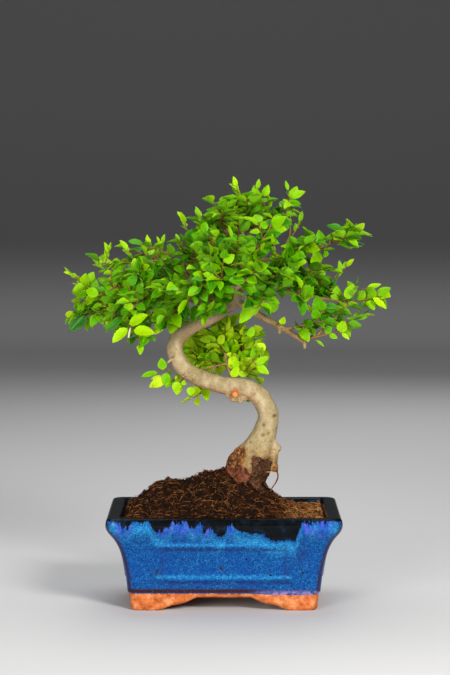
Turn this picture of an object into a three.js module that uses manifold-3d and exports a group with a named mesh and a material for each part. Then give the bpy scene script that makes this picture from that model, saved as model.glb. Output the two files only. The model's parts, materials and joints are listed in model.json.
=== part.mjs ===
// Sweet plum bonsai (Sageretia) in a glazed rectangular pot.
// Millimetres, +Z up. The model is drawn about the middle of the pot's foot, and the last lines
// shift it so that the origin is the middle of its bounding box's underside.
import * as THREE from "three";
import { mergeVertices } from "three/addons/utils/BufferGeometryUtils.js";
import Module from "manifold-3d";

const wasm = await Module();
wasm.setup();
const point = (x, y, z) => new THREE.Vector3(x, y, z);
const up = point(0, 0, 1);

// Driving sizes of the pot
const potHalfLength = 102;
const potDepthDifference = 25; // the half-depth is this much less than the half-length
const potCornerRadius = 8;
const footHalfLength = 81.4;
const footBottom = -2.3; // all heights are measured from a little above the foot's underside
const potProfile = [
  [footBottom, 79.4], [0.8, footHalfLength], [12.3, 82.2], [13.9, 83.4], [30.5, 85.2], [41, 87.2],
  [51.5, 90], [60, 94], [65, 98], [69, 101], [73, potHalfLength], [77, 101.6], [80, 99.6],
]; // height, then half-length of the outside there
const wallProfile = potProfile.slice(3, 8); // the wall between the foot and the flare
const rimHeight = 80;
const rimInside = 89.5;
const floorTop = 16;
const innerWall = [[floorTop, 73.4], [56, 79.5], [rimHeight, rimInside]]; // height, half-length inside
const footInside = 10.3; // height of the hollow under the floor
const footWall = 9;
const archTop = 9;
const archProfile = [[55.5, -3.3], [55.5, footBottom], [45, 2], [38.5, 2.9], [32.5, 4.7], [23.5, archTop]];
const archShrink = 0.62; // the arches in the short sides are this much narrower
const drainHoleX = 45;
const drainHoleRadius = 8;
const drainHoleSides = 16;
const throughLength = 2 * potHalfLength + 40; // cuts that pass right through the pot
const overcut = 2; // a cut goes this far past a face
const panel = { halfLength: 59, low: 23.5, high: 57.5, ridge: 5, proud: 1.3 };

// Driving sizes of the soil and the drainage meshes
const seat = 0.3; // clearance between neighbours
const soilEdgeHeight = 76.5;
const soilHeaps = [
  [35, -3, 0, 52, 44], [15, -60, 0, 31, 48], [5, 30, -4, 14, 30], [-5, 66, -10, 22, 40],
]; // height, the middle's x and y, and the spread along x and y
const soilLumps = { small: 0.9, large: 0.7 }; // heights of the unevenness
const soilRings = [0.94, 0.84, 0.71, 0.57, 0.43, 0.29, 0.14]; // shares of the way out to the wall
const longSideSteps = 5; // stretches of a ring along the pot's long and short sides
const shortSideSteps = 4;
const rootClearance = 0.4;
const meshSide = 26;
const meshThickness = 1.2;
const meshHole = 9;
const meshPitch = 5.8; // from the middle to a hole's middle

// The trunk's centreline, x, y, z, and its radius there
const trunkLine = [
  [20, 0, 58, 12], [20, 0, 76, 15.5], [19.5, 0, 90, 18], [20, 0, 102, 18.5], [23, 0, 114, 18.5],
  [28, -1, 126, 16.5], [32.5, -2, 138, 12.4], [37, -3, 150, 9.8], [38.7, -4, 161, 9.2],
  [36, -5, 171, 8.9], [31, -6, 179, 8.7], [22, -7, 185.5, 8.4], [11, -7, 187.3, 8], [1, -6, 188.3, 7.7],
  [-10, -4, 191.3, 7.5], [-20.6, -1, 194.6, 7.4], [-30, 2, 199, 7.3], [-37.8, 4, 206, 7.2],
  [-43, 6, 216.7, 7.2], [-42, 6, 226.3, 7.2], [-35, 5, 236, 7.2], [-25.5, 3, 241.7, 7], [-14, 1, 247, 6.7],
  [-2, 0, 253.6, 6.1], [9, 0, 262, 5.2], [12, 0, 273, 4.1], [14, 0, 290, 3.1], [16.5, 0, 307, 2.4],
  [15.8, 0, 330, 1.5],
];

// Branches: radius at the start and at the tip, then the centreline
const branches = {
  leftMain: [3.8, 1.4, [-8, 0, 251], [-24, -12, 263], [-45, -16, 267], [-69, -14, 265], [-93, -8, 262]],
  leftBack: [3.3, 1.2, [-2, 0, 254], [-17, 15, 269], [-40, 32, 277], [-61, 40, 278]],
  leftUpper: [3.0, 1.2, [12, 0, 270], [-8, 0, 285], [-30, 2, 295], [-56, 5, 297], [-80, 8, 295]],
  rightLow: [3.5, 2.2, [12, 0, 262], [33, -6, 249], [52, -10, 239], [71, -14, 227]],
  rightLowFork: [2.0, 1.1, [66, -13, 230], [76, -11, 231], [86, -8, 237], [92, -5, 249]],
  rightMiddle: [2.9, 1.1, [12, 0, 272], [33, 10, 276], [58, 12, 272], [80, 8, 266], [104, 3, 261]],
  rightUpper: [2.7, 1.0, [15, 0, 290], [33, -5, 298], [53, -9, 301], [71, -5, 304], [88, -2, 311]],
  rightRise: [1.9, 0.9, [50, -8, 301], [57, -8, 320], [58, -6, 338]],
  rightBack: [2.4, 1.0, [12, 0, 274], [27, 25, 281], [43, 45, 287]],
  front: [2.6, 1.1, [10, 0, 268], [4, -24, 279], [-4, -46, 286]],
  frontRight: [2.4, 1.1, [12, 0, 270], [24, -24, 277], [34, -46, 280]],
  back: [2.4, 1.0, [14, 0, 284], [10, 30, 288], [5, 56, 291]],
  topLeft: [2.0, 0.9, [16, 0, 306], [4, -4, 320], [-4, -8, 330]],
  lowPad: [2.6, 1.1, [4, -4, 190], [5, 10, 192], [8, 22, 199], [6, 30, 208]],
  bendShoot: [1.8, 0.9, [-34, 4, 203], [-40, 13, 197], [-44, 18, 192]],
};

// Roots: radius at the trunk and at the buried end, then the centreline
const roots = [
  [8, 3, [18, -6, 100], [4, -16, 92], [-6, -22, 68]],
  [8, 3.5, [25, -8, 100], [32, -17, 90], [36, -24, 62]],
  [8, 3, [27, 6, 102], [36, 12, 90], [42, 16, 62]],
  [8, 3.5, [24, 10, 100], [22, 24, 92], [18, 32, 64]],
  [7, 3, [12, 4, 98], [-4, 10, 92], [-14, 15, 68]],
  [6, 8.5, [24, -2, 139], [13, -4, 127], [9, -5, 114], [8, -5, 98], [8, -5, 76]],
  [3.4, 5, [39.5, -4, 148], [44.6, -5, 135], [44.4, -5.5, 124], [42.4, -6, 113]],
  [1.1, 0.8, [45, -6, 117], [47.4, -6.5, 109], [45.5, -7, 103], [41, -8, 96], [37, -9, 84]],
];

// Knots under the pruning scar and cut ends of twigs: radius at the wood and at the end, then the centreline
const stubs = [
  [5.4, 3.4, [9, -8, 187], [9.5, -10.5, 174.5]],
  [3.2, 1.8, [17, -8, 184], [18.5, -9.5, 175.5]],
  [2.6, 1.3, [3.5, -7, 185], [2.5, -9, 178]],
  [1.9, 1.5, [49, -9, 240], [48.5, -12, 234]],
  [1.9, 1.5, [70, -14, 228], [70.5, -16, 221.5]],
];

// How finely the wood is drawn
const ringStep = 18; // between the rings of a trunk, branch or root, at the most
const closeStep = 1.4; // between the samples that tests of clearance use
const trunkSides = 12;
const branchSides = 5;
const rootSides = 7;
const shootSides = 4;
const samplesPerShootRing = 22;

// The lobes of the trunk's foot
const flareTop = 140;
const flareHeight = 45;
const threeLobes = 0.09; // share of the radius
const fiveLobes = 0.06;

// Tips of the leafy sprays
const sprayTips = [
  [-129, -5, 283], [-126, -10, 249], [-109, 10, 298], [-121, 30, 263], [-98, -35, 279], [-97, -30, 247],
  [-85, 20, 308], [-77, -30, 239], [-71, -5, 312], [-72, -45, 291], [-80, -55, 266], [-86, 50, 281],
  [-52, -60, 278], [-51, -40, 252], [-58, 60, 292], [-36, -10, 316], [-31, -72, 268],
  [-31, 62, 296], [-21, 5, 333], [-10, -18, 349], [-10, -50, 320], [-8, 50, 328], [-14, -45, 257],
  [12, 0, 357], [3, -40, 341], [19, 40, 346], [33, -10, 354], [14, -75, 315], [-2, -80, 285],
  [26, -80, 293], [41, -50, 331], [45, 35, 337], [32, -60, 268], [58, -5, 352], [70, -40, 313],
  [56, -70, 299], [80, 15, 312], [113, -5, 323], [86, -10, 291], [70, 44, 276], [66, -40, 266],
  [94, 22, 269], [134, 0, 267], [86, -24, 246], [108, 0, 242], [24, 82, 304], [-6, 86, 290],
  [46, 78, 281], [-12, 38, 226], [20, 42, 228], [34, 26, 208], [-24, 34, 208],
  [4, 46, 238], [-54, 18, 192], [-28, 12, 176],
];

// Sizes of the shoots and leaves
const lowestShoot = 256; // on the trunk
const bareBranch = 12; // length at a branch's foot that bears no shoot
const bareShoot = 6; // samples at a shoot's foot that bear no other shoot
const straightness = 1.6; // the lower, the more a shoot keeps to the way its wood points
const shootPull = { along: 0.5, stray: 0.5, perAttempt: 0.5 };
const tipPull = { rise: 0.15, stray: 0.6, perAttempt: 0.4 };
const shootSampleStep = 1.2;
const originsPerAttempt = 3; // ranks of origins passed over from one attempt to the next
const thickestShoot = { share: 0.75, radius: 1.7 }; // of the wood that carries it, and at the most
const gapToWood = 0.8;
const gapToTwigs = 1.2;
const twigFoot = 4; // samples of a twig that may lie near the shoot they go on from
const shootEnd = 8; // and samples of that shoot
const sprayLength = 29;
const shortestSpray = 23;
const shootStub = 3.5; // a shoot stands at least this far out of the wood that carries it
const shootRadius = 1.0;
const twigRadius = 0.85;
const twigTipRadius = 0.5;
const twigSection = [[0, 1.1], [-0.95, -0.6], [0.95, -0.6]]; // corners of a spray's twig, over its radius
const leafSpacing = 4.7;
const firstLeaf = 4.5;
const rootHalf = 0.65; // half the length of a leaf's root along its twig
const bladeThickness = 0.8;
const leafLength = { least: 12, most: 17.5 };
const leafHalfWidth = 0.27; // share of the leaf's length
const shoulder = 0.36; // where a blade is widest, from its base
const waist = 0.7; // where it starts to narrow to its tip
const leafAngle = 1.05; // radians between a leaf and its twig
const leafStray = { angle: 0.3, endAngle: 0.5, lift: 0.7, roll: 1.5 }; // spreads of its random turns
const leafLift = 0.1;
const endLeafShare = 0.6; // a twig's last leaf is smaller
const leafFold = { least: 0.15, spread: 0.35 }; // rise of the edges over the half-width
const leafDroop = { least: 0.05, spread: 0.2 }; // fall of the tip over the length
const faceUp = 0.8; // what turns a spray's face: up, outwards and by chance
const faceOutwards = 0.6;
const faceStray = 1.1;
const canopyCentre = point(8, 0, 252);
const lowPadCentre = point(8, 6, 196);
const lowPadTop = 234;
const leafClearance = 2.3; // between sample points of two leaves
const leafReach = 4; // allowance when far leaves are passed over
const bladeSampling = { from: 0.25, along: 0.094, across: 1 / 3 };
const ownTwigClearance = 0.7;
const nearby = 60; // wood further from a twig's foot than this meets none of its leaves
const woodClearance = 1.9; // between a leaf's sample points and the skin of any wood
const leafTries = 12;
const shootTries = 40;

// Limits for the repair of what cuts leave
const leastEdge = 0.12;
const leastHeight = 0.03;
const mostRepairs = 600;
const leastGain = 1.5; // how much higher the faces get when a long side is turned
const leastCosine = 0.5; // between a face before and after

// A number from 0 to 1 that depends only on three whole numbers
function draw(a, b, c) {
  let h = Math.imul(a + 1, 0x9e3779b1) ^ Math.imul(b + 1, 0x85ebca6b) ^ Math.imul(c + 1, 0xc2b2ae35);
  h = Math.imul(h ^ (h >>> 15), 0x2c1b3c6d);
  h = Math.imul(h ^ (h >>> 12), 0x297a2d39);
  return ((h ^ (h >>> 15)) >>> 0) / 4294967296;
}

// Closed geometry from rings that are counter-clockwise seen from the last ring's side. Its ends
// are closed from one corner, or round a middle point where a ring has points in line.
function loft(rings, fromMiddle = false) {
  const count = rings[0].length;
  const points = rings.flat();
  const faces = [];
  for (let level = 0; level + 1 < rings.length; level++) {
    for (let side = 0; side < count; side++) {
      const a = level * count + side;
      const b = level * count + (side + 1) % count;
      faces.push(a, b, b + count, a, b + count, a + count);
    }
  }
  const top = (rings.length - 1) * count;
  for (let side = 1; side + 1 < count && !fromMiddle; side++) {
    faces.push(0, side + 1, side, top, top + side, top + side + 1);
  }
  for (let side = 0; side < count && fromMiddle; side++) {
    const next = (side + 1) % count;
    faces.push(points.length, next, side, points.length + 1, top + side, top + next);
  }
  if (fromMiddle) points.push(middleOf(rings[0]), middleOf(rings[rings.length - 1]));
  return bareGeometry(points, faces);
}

function middleOf(ring) {
  return ring.reduce((sum, corner) => sum.add(corner), point(0, 0, 0)).divideScalar(ring.length);
}

function bareGeometry(points, faces) {
  const geometry = new THREE.BufferGeometry();
  const positions = points.flatMap((p) => [p.x, p.y, p.z]);
  geometry.setAttribute("position", new THREE.Float32BufferAttribute(positions, 3));
  geometry.setIndex(faces);
  return geometry;
}

// Conversion to a solid that can be cut and joined, and back
function solid(geometry) {
  const bare = geometry.clone();
  bare.deleteAttribute("normal");
  bare.deleteAttribute("uv");
  const merged = mergeVertices(bare, 1e-4);
  return new wasm.Manifold(new wasm.Mesh({
    numProp: 3,
    vertProperties: new Float32Array(merged.attributes.position.array),
    triVerts: new Uint32Array(merged.index.array),
  }));
}

function geometryOf(manifold) {
  const mesh = manifold.getMesh();
  const points = [];
  const faces = [];
  for (let at = 0; at < mesh.vertProperties.length; at += 3) {
    points.push(point(...mesh.vertProperties.subarray(at, at + 3)));
  }
  for (let at = 0; at < mesh.triVerts.length; at += 3) faces.push([...mesh.triVerts.subarray(at, at + 3)]);
  return bareGeometry(points, cleanFaces(points, faces).flat());
}

// Cuts leave a few tiny edges and needle-thin faces. Tiny edges are closed up, and the long side of
// a thin face is turned, where that keeps the surface whole.
function cleanFaces(points, faces) {
  let current = faces;
  for (let round = 0; round < mostRepairs; round++) {
    const repaired = closeTinyEdge(points, current) ?? turnThinFace(points, current);
    if (!repaired) break;
    current = repaired;
  }
  return current;
}

function facesWith(faces, ...corners) {
  return faces.filter((face) => corners.every((corner) => face.includes(corner)));
}

function closeTinyEdge(points, faces) {
  for (const face of faces) {
    for (let side = 0; side < 3; side++) {
      const a = face[side];
      const b = face[(side + 1) % 3];
      if (points[a].distanceTo(points[b]) > leastEdge) continue;
      const aroundA = new Set(facesWith(faces, a).flat());
      const shared = new Set(facesWith(faces, b).flat().filter((corner) => aroundA.has(corner)));
      if (shared.size !== 4) continue;
      const moved = (other) => other.map((corner) => (corner === b ? a : corner));
      const left = facesWith(faces, b).filter((other) => !other.includes(a));
      if (left.some((other) => !sameWay(points, other, moved(other)))) continue;
      return faces.map(moved).filter((other) => new Set(other).size === 3);
    }
  }
  return null;
}

function turnThinFace(points, faces) {
  for (const face of faces) {
    const height = leastHeightOf(points, face);
    if (height > leastHeight) continue;
    const lengths = face.map((corner, side) => points[corner].distanceTo(points[face[(side + 1) % 3]]));
    const long = lengths.indexOf(Math.max(...lengths));
    const [a, b, c] = [face[long], face[(long + 1) % 3], face[(long + 2) % 3]];
    const other = facesWith(faces, a, b).find((neighbour) => neighbour !== face);
    const d = other.find((corner) => corner !== a && corner !== b);
    const turned = [[a, d, c], [d, b, c]];
    if (facesWith(faces, c, d).length) continue;
    if (turned.some((candidate) => leastHeightOf(points, candidate) < leastGain * height)) continue;
    if (turned.some((candidate) => !sameWay(points, other, candidate))) continue;
    return [...faces.filter((kept) => kept !== face && kept !== other), ...turned];
  }
  return null;
}

function sameWay(points, face, changed) {
  return crossOf(points, face).normalize().dot(crossOf(points, changed).normalize()) > leastCosine;
}

function crossOf(points, face) {
  const [a, b, c] = face.map((corner) => points[corner]);
  return b.clone().sub(a).cross(c.clone().sub(a));
}

function leastHeightOf(points, face) {
  const [a, b, c] = face.map((corner) => points[corner]);
  const longest = Math.max(a.distanceTo(b), b.distanceTo(c), c.distanceTo(a));
  return crossOf(points, face).length() / longest;
}

function join(solids) {
  return wasm.Manifold.union(solids);
}

function box(low, high) {
  const size = high.clone().sub(low);
  const geometry = new THREE.BoxGeometry(size.x, size.y, size.z);
  geometry.translate((low.x + high.x) / 2, (low.y + high.y) / 2, (low.z + high.z) / 2);
  return geometry;
}

// A smooth path: sample points with a tangent and a radius
function pathThrough(places, radii, step) {
  const curve = new THREE.CatmullRomCurve3(places, false, "catmullrom", 0.5);
  const spans = places.length - 1;
  const perSpan = Math.max(1, Math.round(curve.getLength() / step / spans));
  const samples = [];
  for (let index = 0; index <= spans * perSpan; index++) {
    const t = index / (spans * perSpan);
    const span = Math.min(spans - 1, Math.floor(t * spans));
    const radius = radii[span] + (radii[span + 1] - radii[span]) * (t * spans - span);
    samples.push({ point: curve.getPoint(t), tangent: curve.getTangent(t), radius });
  }
  return samples;
}

function evenRadii(start, end, count) {
  return Array.from({ length: count }, (_, index) => start + (end - start) * index / (count - 1));
}

// A round rod along a path, its rings turned as little as possible from one to the next
function rod(path, sides, grow = 0, lobes = null) {
  const first = path[0].tangent;
  let normal = point(1, 0, 0).addScaledVector(first, -first.x);
  if (normal.lengthSq() < 0.1) normal = point(0, 1, 0).addScaledVector(first, -first.y);
  const rings = path.map((sample) => {
    normal = normal.clone().addScaledVector(sample.tangent, -normal.dot(sample.tangent)).normalize();
    const across = sample.tangent.clone().cross(normal);
    const ring = [];
    for (let side = 0; side < sides; side++) {
      const angle = side / sides * 2 * Math.PI;
      const swell = lobes ? lobes(angle, sample.point.z) : 1;
      const radius = sample.radius * swell + grow;
      ring.push(sample.point.clone()
        .addScaledVector(normal, radius * Math.cos(angle))
        .addScaledVector(across, radius * Math.sin(angle)));
    }
    return ring;
  });
  return loft(rings);
}

// The pot

function roundedRectangle(halfX, halfY, radius, z, cornerSteps = 3) {
  const ring = [];
  [[1, 1], [-1, 1], [-1, -1], [1, -1]].forEach(([signX, signY], quarter) => {
    for (let step = 0; step <= cornerSteps; step++) {
      const angle = (quarter + step / cornerSteps) * Math.PI / 2;
      ring.push(point(
        signX * (halfX - radius) + radius * Math.cos(angle),
        signY * (halfY - radius) + radius * Math.sin(angle), z));
    }
  });
  return ring;
}

function potRing(halfLength, z, inset = 0) {
  return roundedRectangle(halfLength - inset, halfLength - potDepthDifference - inset,
    potCornerRadius - inset, z);
}

function innerHalfLength(z) {
  const bend = innerWall.findIndex(([height]) => height >= z);
  const [low, near] = innerWall[Math.max(0, bend - 1)];
  const [high, far] = innerWall[Math.max(1, bend)];
  return near + (far - near) * (z - low) / (high - low);
}

function archCut(scale, alongX) {
  const outline = new THREE.Shape();
  const half = archProfile.map(([x, z]) => [x * scale, z]);
  half.forEach(([x, z], index) => (index ? outline.lineTo(x, z) : outline.moveTo(x, z)));
  half.slice().reverse().forEach(([x, z]) => outline.lineTo(-x, z));
  const cut = new THREE.ExtrudeGeometry(outline, { depth: throughLength, bevelEnabled: false });
  cut.translate(0, 0, -throughLength / 2);
  cut.rotateX(Math.PI / 2);
  if (alongX) cut.rotateZ(Math.PI / 2);
  return solid(cut);
}

function panelFrame(halfLength, alongX) {
  const low = panel.low;
  const high = panel.high;
  const outline = new THREE.Shape([
    new THREE.Vector2(-halfLength, low), new THREE.Vector2(halfLength, low),
    new THREE.Vector2(halfLength, high), new THREE.Vector2(-halfLength, high),
  ]);
  const inner = halfLength - panel.ridge;
  outline.holes.push(new THREE.Path([
    new THREE.Vector2(-inner, low + panel.ridge), new THREE.Vector2(-inner, high - panel.ridge),
    new THREE.Vector2(inner, high - panel.ridge), new THREE.Vector2(inner, low + panel.ridge),
  ]));
  const frame = new THREE.ExtrudeGeometry(outline, { depth: throughLength, bevelEnabled: false });
  frame.translate(0, 0, -throughLength / 2);
  frame.rotateX(Math.PI / 2);
  if (alongX) frame.rotateZ(Math.PI / 2);
  return solid(frame);
}

function makePot() {
  const outside = solid(loft(potProfile.map(([z, half]) => potRing(half, z))));
  const swollen = solid(loft(wallProfile.map(([z, half]) => potRing(half, z, -panel.proud))));
  const frames = panelFrame(panel.halfLength, false)
    .add(panelFrame(panel.halfLength - potDepthDifference, true));
  const inside = innerWall.map(([z, half]) => potRing(half, z));
  inside.push(potRing(rimInside, rimHeight + overcut));
  const hollowHalfLength = footHalfLength - footWall;
  const hollowHalfDepth = hollowHalfLength - potDepthDifference;
  const underside = box(
    point(-hollowHalfLength, -hollowHalfDepth, footBottom - overcut),
    point(hollowHalfLength, hollowHalfDepth, footInside));
  let pot = outside.add(swollen.intersect(frames));
  pot = pot.subtract(solid(loft(inside)));
  pot = pot.subtract(solid(underside));
  pot = pot.subtract(archCut(1, false)).subtract(archCut(archShrink, true));
  for (const side of [-1, 1]) {
    const hole = new THREE.CylinderGeometry(drainHoleRadius, drainHoleRadius, 4 * floorTop, drainHoleSides);
    hole.rotateX(Math.PI / 2);
    hole.translate(side * drainHoleX, 0, 0);
    pot = pot.subtract(solid(hole));
  }
  return pot;
}

// The drainage meshes

function makeMesh(x) {
  const low = floorTop + seat;
  const block = (column, row, half, from, to) => solid(box(
    point(x + column - half, row - half, from), point(x + column + half, row + half, to)));
  const holes = [];
  for (const column of [-meshPitch, meshPitch]) {
    for (const row of [-meshPitch, meshPitch]) {
      holes.push(block(column, row, meshHole / 2, low - overcut, low + meshThickness + overcut));
    }
  }
  return block(0, 0, meshSide / 2, low, low + meshThickness).subtract(join(holes));
}

// The soil: it fills the pot, and rises in a mound round the trunk

function soilHeight(x, y, share) {
  const fade = 1 - share ** 8; // share is 1 at the pot's wall, where the earth lies level
  const heaps = soilHeaps.map(([height, middleX, middleY, spreadX, spreadY]) => (
    height * Math.exp(-(((x - middleX) / spreadX) ** 2) - ((y - middleY) / spreadY) ** 2)));
  const lumps = soilLumps.small * Math.sin(x * 0.31 + 1) * Math.sin(y * 0.37)
    + soilLumps.large * Math.sin(x * 0.17 - y * 0.23);
  return soilEdgeHeight + fade * (heaps.reduce((sum, heap) => sum + heap) + lumps);
}

// A pot's ring with more points on its straight stretches
function withSidePoints(ring) {
  const perCorner = ring.length / 4;
  return ring.flatMap((corner, index) => {
    const next = ring[(index + 1) % ring.length];
    const isStraight = (index + 1) % perCorner === 0;
    const isLong = Math.floor(index / perCorner) % 2 === 0;
    const steps = isStraight ? (isLong ? longSideSteps : shortSideSteps) : 1;
    return Array.from({ length: steps }, (_, step) => corner.clone().lerp(next, step / steps));
  });
}

function makeSoil(hole) {
  const rings = [floorTop + seat, innerWall[1][0], soilEdgeHeight].map((z) => (
    withSidePoints(potRing(innerHalfLength(z), z, seat))));
  const edge = rings[rings.length - 1];
  for (const scale of soilRings) {
    rings.push(edge.map((p) => {
      const x = p.x * scale;
      const y = p.y * scale;
      return point(x, y, soilHeight(x, y, scale));
    }));
  }
  let soil = solid(loft(rings, true)).subtract(hole);
  for (const side of [-1, 1]) {
    const half = meshSide / 2 + seat;
    const low = point(side * drainHoleX - half, -half, floorTop - overcut);
    const high = point(side * drainHoleX + half, half, floorTop + meshThickness + 2 * seat);
    soil = soil.subtract(solid(box(low, high)));
  }
  return soil;
}

// The tree's wood

function trunkLobes(angle, z) {
  const flare = THREE.MathUtils.clamp((flareTop - z) / flareHeight, 0, 1);
  return 1 + flare * (threeLobes * Math.sin(3 * angle + 0.6) + fiveLobes * Math.sin(5 * angle + z / 9));
}

const trunkPath = pathThrough(
  trunkLine.map(([x, y, z]) => point(x, y, z)), trunkLine.map((entry) => entry[3]), ringStep);
const branchPaths = Object.values(branches).map(([start, end, ...line]) => (
  pathThrough(line.map((p) => point(...p)), evenRadii(start, end, line.length), ringStep)));
const rootPaths = roots.map(([start, end, ...line]) => (
  pathThrough(line.map((p) => point(...p)), evenRadii(start, end, line.length), ringStep)));
const stubPaths = stubs.map(([start, end, ...line]) => (
  pathThrough(line.map((p) => point(...p)), [start, end], ringStep)));

// Wood that a shoot can grow from, or a leaf can meet, as close samples
const shootOrigins = [];
const woodSamples = [];

function addWood(line, radii, bearing) {
  const close = pathThrough(line, radii, closeStep);
  for (const sample of close) {
    woodSamples.push(sample);
    if (bearing(sample)) shootOrigins.push(sample);
  }
}

addWood(trunkLine.map(([x, y, z]) => point(x, y, z)), trunkLine.map((entry) => entry[3]),
  (sample) => sample.point.z > lowestShoot);
for (const [start, end, ...line] of Object.values(branches)) {
  const origin = point(...line[0]);
  addWood(line.map((p) => point(...p)), evenRadii(start, end, line.length),
    (sample) => sample.point.distanceTo(origin) > bareBranch);
}

// A shoot's whole line, from the wood that carries it to its tip

function hermite(start, startPull, end, endPull, t) {
  const t2 = t * t;
  const t3 = t2 * t;
  return start.clone().multiplyScalar(2 * t3 - 3 * t2 + 1)
    .addScaledVector(startPull, t3 - 2 * t2 + t)
    .addScaledVector(end, 3 * t2 - 2 * t3)
    .addScaledVector(endPull, t3 - t2);
}

function shootLine(origin, tip, index, attempt) {
  const reach = tip.distanceTo(origin.point);
  const towards = tip.clone().sub(origin.point).divideScalar(reach);
  const stray = point(
    draw(index, attempt, 1) - 0.5, draw(index, attempt, 2) - 0.5, draw(index, attempt, 3) - 0.5);
  const startPull = origin.tangent.clone().multiplyScalar(shootPull.along).add(towards)
    .addScaledVector(stray, shootPull.stray + shootPull.perAttempt * attempt)
    .normalize().multiplyScalar(reach);
  const endPull = towards.clone().addScaledVector(up, tipPull.rise)
    .addScaledVector(stray, -tipPull.stray - tipPull.perAttempt * attempt)
    .normalize().multiplyScalar(reach);
  const steps = Math.ceil(reach / shootSampleStep);
  const line = [];
  for (let step = 0; step <= steps; step++) {
    line.push(hermite(origin.point, startPull, tip, endPull, step / steps));
  }
  return line;
}

function lineLength(line) {
  return line.slice(1).reduce((sum, place, index) => sum + place.distanceTo(line[index]), 0);
}

// Splits a line at a distance before its end
function splitLine(line, tail) {
  let walked = 0;
  let cut = line.length - 1;
  while (cut > 1 && walked < tail) {
    walked += line[cut].distanceTo(line[cut - 1]);
    cut--;
  }
  return [line.slice(0, cut + 1), line.slice(cut)];
}

function sampled(line, startRadius, endRadius) {
  return line.map((place, index) => {
    const before = line[Math.max(0, index - 1)];
    const after = line[Math.min(line.length - 1, index + 1)];
    return {
      point: place,
      tangent: after.clone().sub(before).normalize(),
      radius: startRadius + (endRadius - startRadius) * index / (line.length - 1),
    };
  });
}

function isClear(samples, others, gap) {
  return samples.every((sample) => others.every((other) => (
    sample.point.distanceToSquared(other.point) > (sample.radius + other.radius + gap) ** 2)));
}

const shoots = [];
const twigSamples = [];

function growShoot(tip, index) {
  const ranked = shootOrigins
    .filter((sample) => sample.point.distanceTo(tip) > shortestSpray + sample.radius + shootStub)
    .map((sample) => {
      const reach = sample.point.distanceTo(tip);
      const turn = sample.tangent.dot(tip.clone().sub(sample.point)) / reach;
      return { sample, cost: reach * (straightness - turn) };
    })
    .sort((a, b) => a.cost - b.cost);
  for (let attempt = 0; attempt < shootTries; attempt++) {
    const origin = ranked[Math.min(ranked.length - 1, attempt * originsPerAttempt)].sample;
    const whole = shootLine(origin, tip, index, attempt);
    const room = lineLength(whole) - origin.radius - shootStub;
    const [carried, tail] = splitLine(whole, Math.min(sprayLength, room));
    const startRadius = Math.min(origin.radius * thickestShoot.share, thickestShoot.radius);
    const shoot = sampled(carried, startRadius, shootRadius);
    const twig = sampled(tail, twigRadius, twigTipRadius);
    const free = isClear(twig, woodSamples, gapToWood)
      && isClear(twig.slice(twigFoot), shoot.slice(0, -shootEnd), gapToWood)
      && isClear(twig, twigSamples, gapToTwigs) && isClear(shoot, twigSamples, gapToTwigs);
    if (!free) continue;
    shoots.push({ shoot, twig, index });
    twigSamples.push(...twig);
    woodSamples.push(...shoot);
    shootOrigins.push(...shoot.slice(bareShoot));
    return;
  }
  throw new Error(`no clear way to spray tip ${index}`);
}

sprayTips.forEach((tip, index) => growShoot(point(...tip), index));

// A few evenly spread samples of a close path, with its first and last
function thin(path, rings) {
  const spacing = (path.length - 1) / (rings - 1);
  return Array.from({ length: rings }, (_, index) => path[Math.round(index * spacing)]);
}

function makeWood() {
  const parts = [rod(trunkPath, trunkSides, 0, trunkLobes)];
  [...branchPaths, ...stubPaths].forEach((path) => parts.push(rod(path, branchSides)));
  rootPaths.forEach((path) => parts.push(rod(path, rootSides)));
  for (const { shoot } of shoots) {
    const rings = 2 + Math.round(shoot.length / samplesPerShootRing);
    parts.push(rod(thin(shoot, rings), shootSides));
  }
  return join(parts.map(solid));
}

function makeRootHole() {
  const parts = [rod(trunkPath, trunkSides, rootClearance, trunkLobes)];
  rootPaths.forEach((path) => parts.push(rod(path, rootSides, rootClearance)));
  return join(parts.map(solid));
}

// The leaves

// A point of the blade's middle surface: u runs from base to tip, v from -1 to 1 across
function bladePoint(leaf, u, v) {
  const width = leaf.halfWidth * bladeOutline(u);
  return leaf.base.clone()
    .addScaledVector(leaf.axis, u * leaf.length)
    .addScaledVector(leaf.left, -v * width)
    .addScaledVector(leaf.normal, leaf.fold * Math.abs(v) * width - leaf.droop * u * u * leaf.length);
}

function bladeOutline(u) {
  if (u < shoulder) return 0.1 + 0.9 * u / shoulder;
  if (u < waist) return 1 - 0.2 * (u - shoulder) / (waist - shoulder);
  return 0.8 * (1 - u) / (1 - waist);
}

const outlinePoints = [[shoulder, 1], [waist, 1], [1, 0], [waist, -1], [shoulder, -1]];

function bladeSamples(leaf) {
  const samples = [];
  for (let u = bladeSampling.from; u < 1.01; u += bladeSampling.along) {
    for (let v = -1; v < 1.01; v += bladeSampling.across) samples.push(bladePoint(leaf, Math.min(u, 1), v));
  }
  return samples;
}

// The place, tangent and radius at a distance along a path
function along(path, distance) {
  let walked = 0;
  for (let index = 1; index < path.length; index++) {
    const step = path[index].point.distanceTo(path[index - 1].point);
    if (walked + step >= distance || index === path.length - 1) {
      const share = Math.min(1, (distance - walked) / step);
      const before = path[index - 1];
      const after = path[index];
      return {
        point: before.point.clone().lerp(after.point, share),
        tangent: before.tangent.clone().lerp(after.tangent, share).normalize(),
        radius: before.radius + (after.radius - before.radius) * share,
      };
    }
    walked += step;
  }
  return path[0];
}

// The frame of a twig at one place: its face looks up and outwards, and left is face x tangent
function twigFrame(place, face) {
  const normal = face.clone().addScaledVector(place.tangent, -face.dot(place.tangent)).normalize();
  return { ...place, normal, left: normal.clone().cross(place.tangent) };
}

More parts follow.
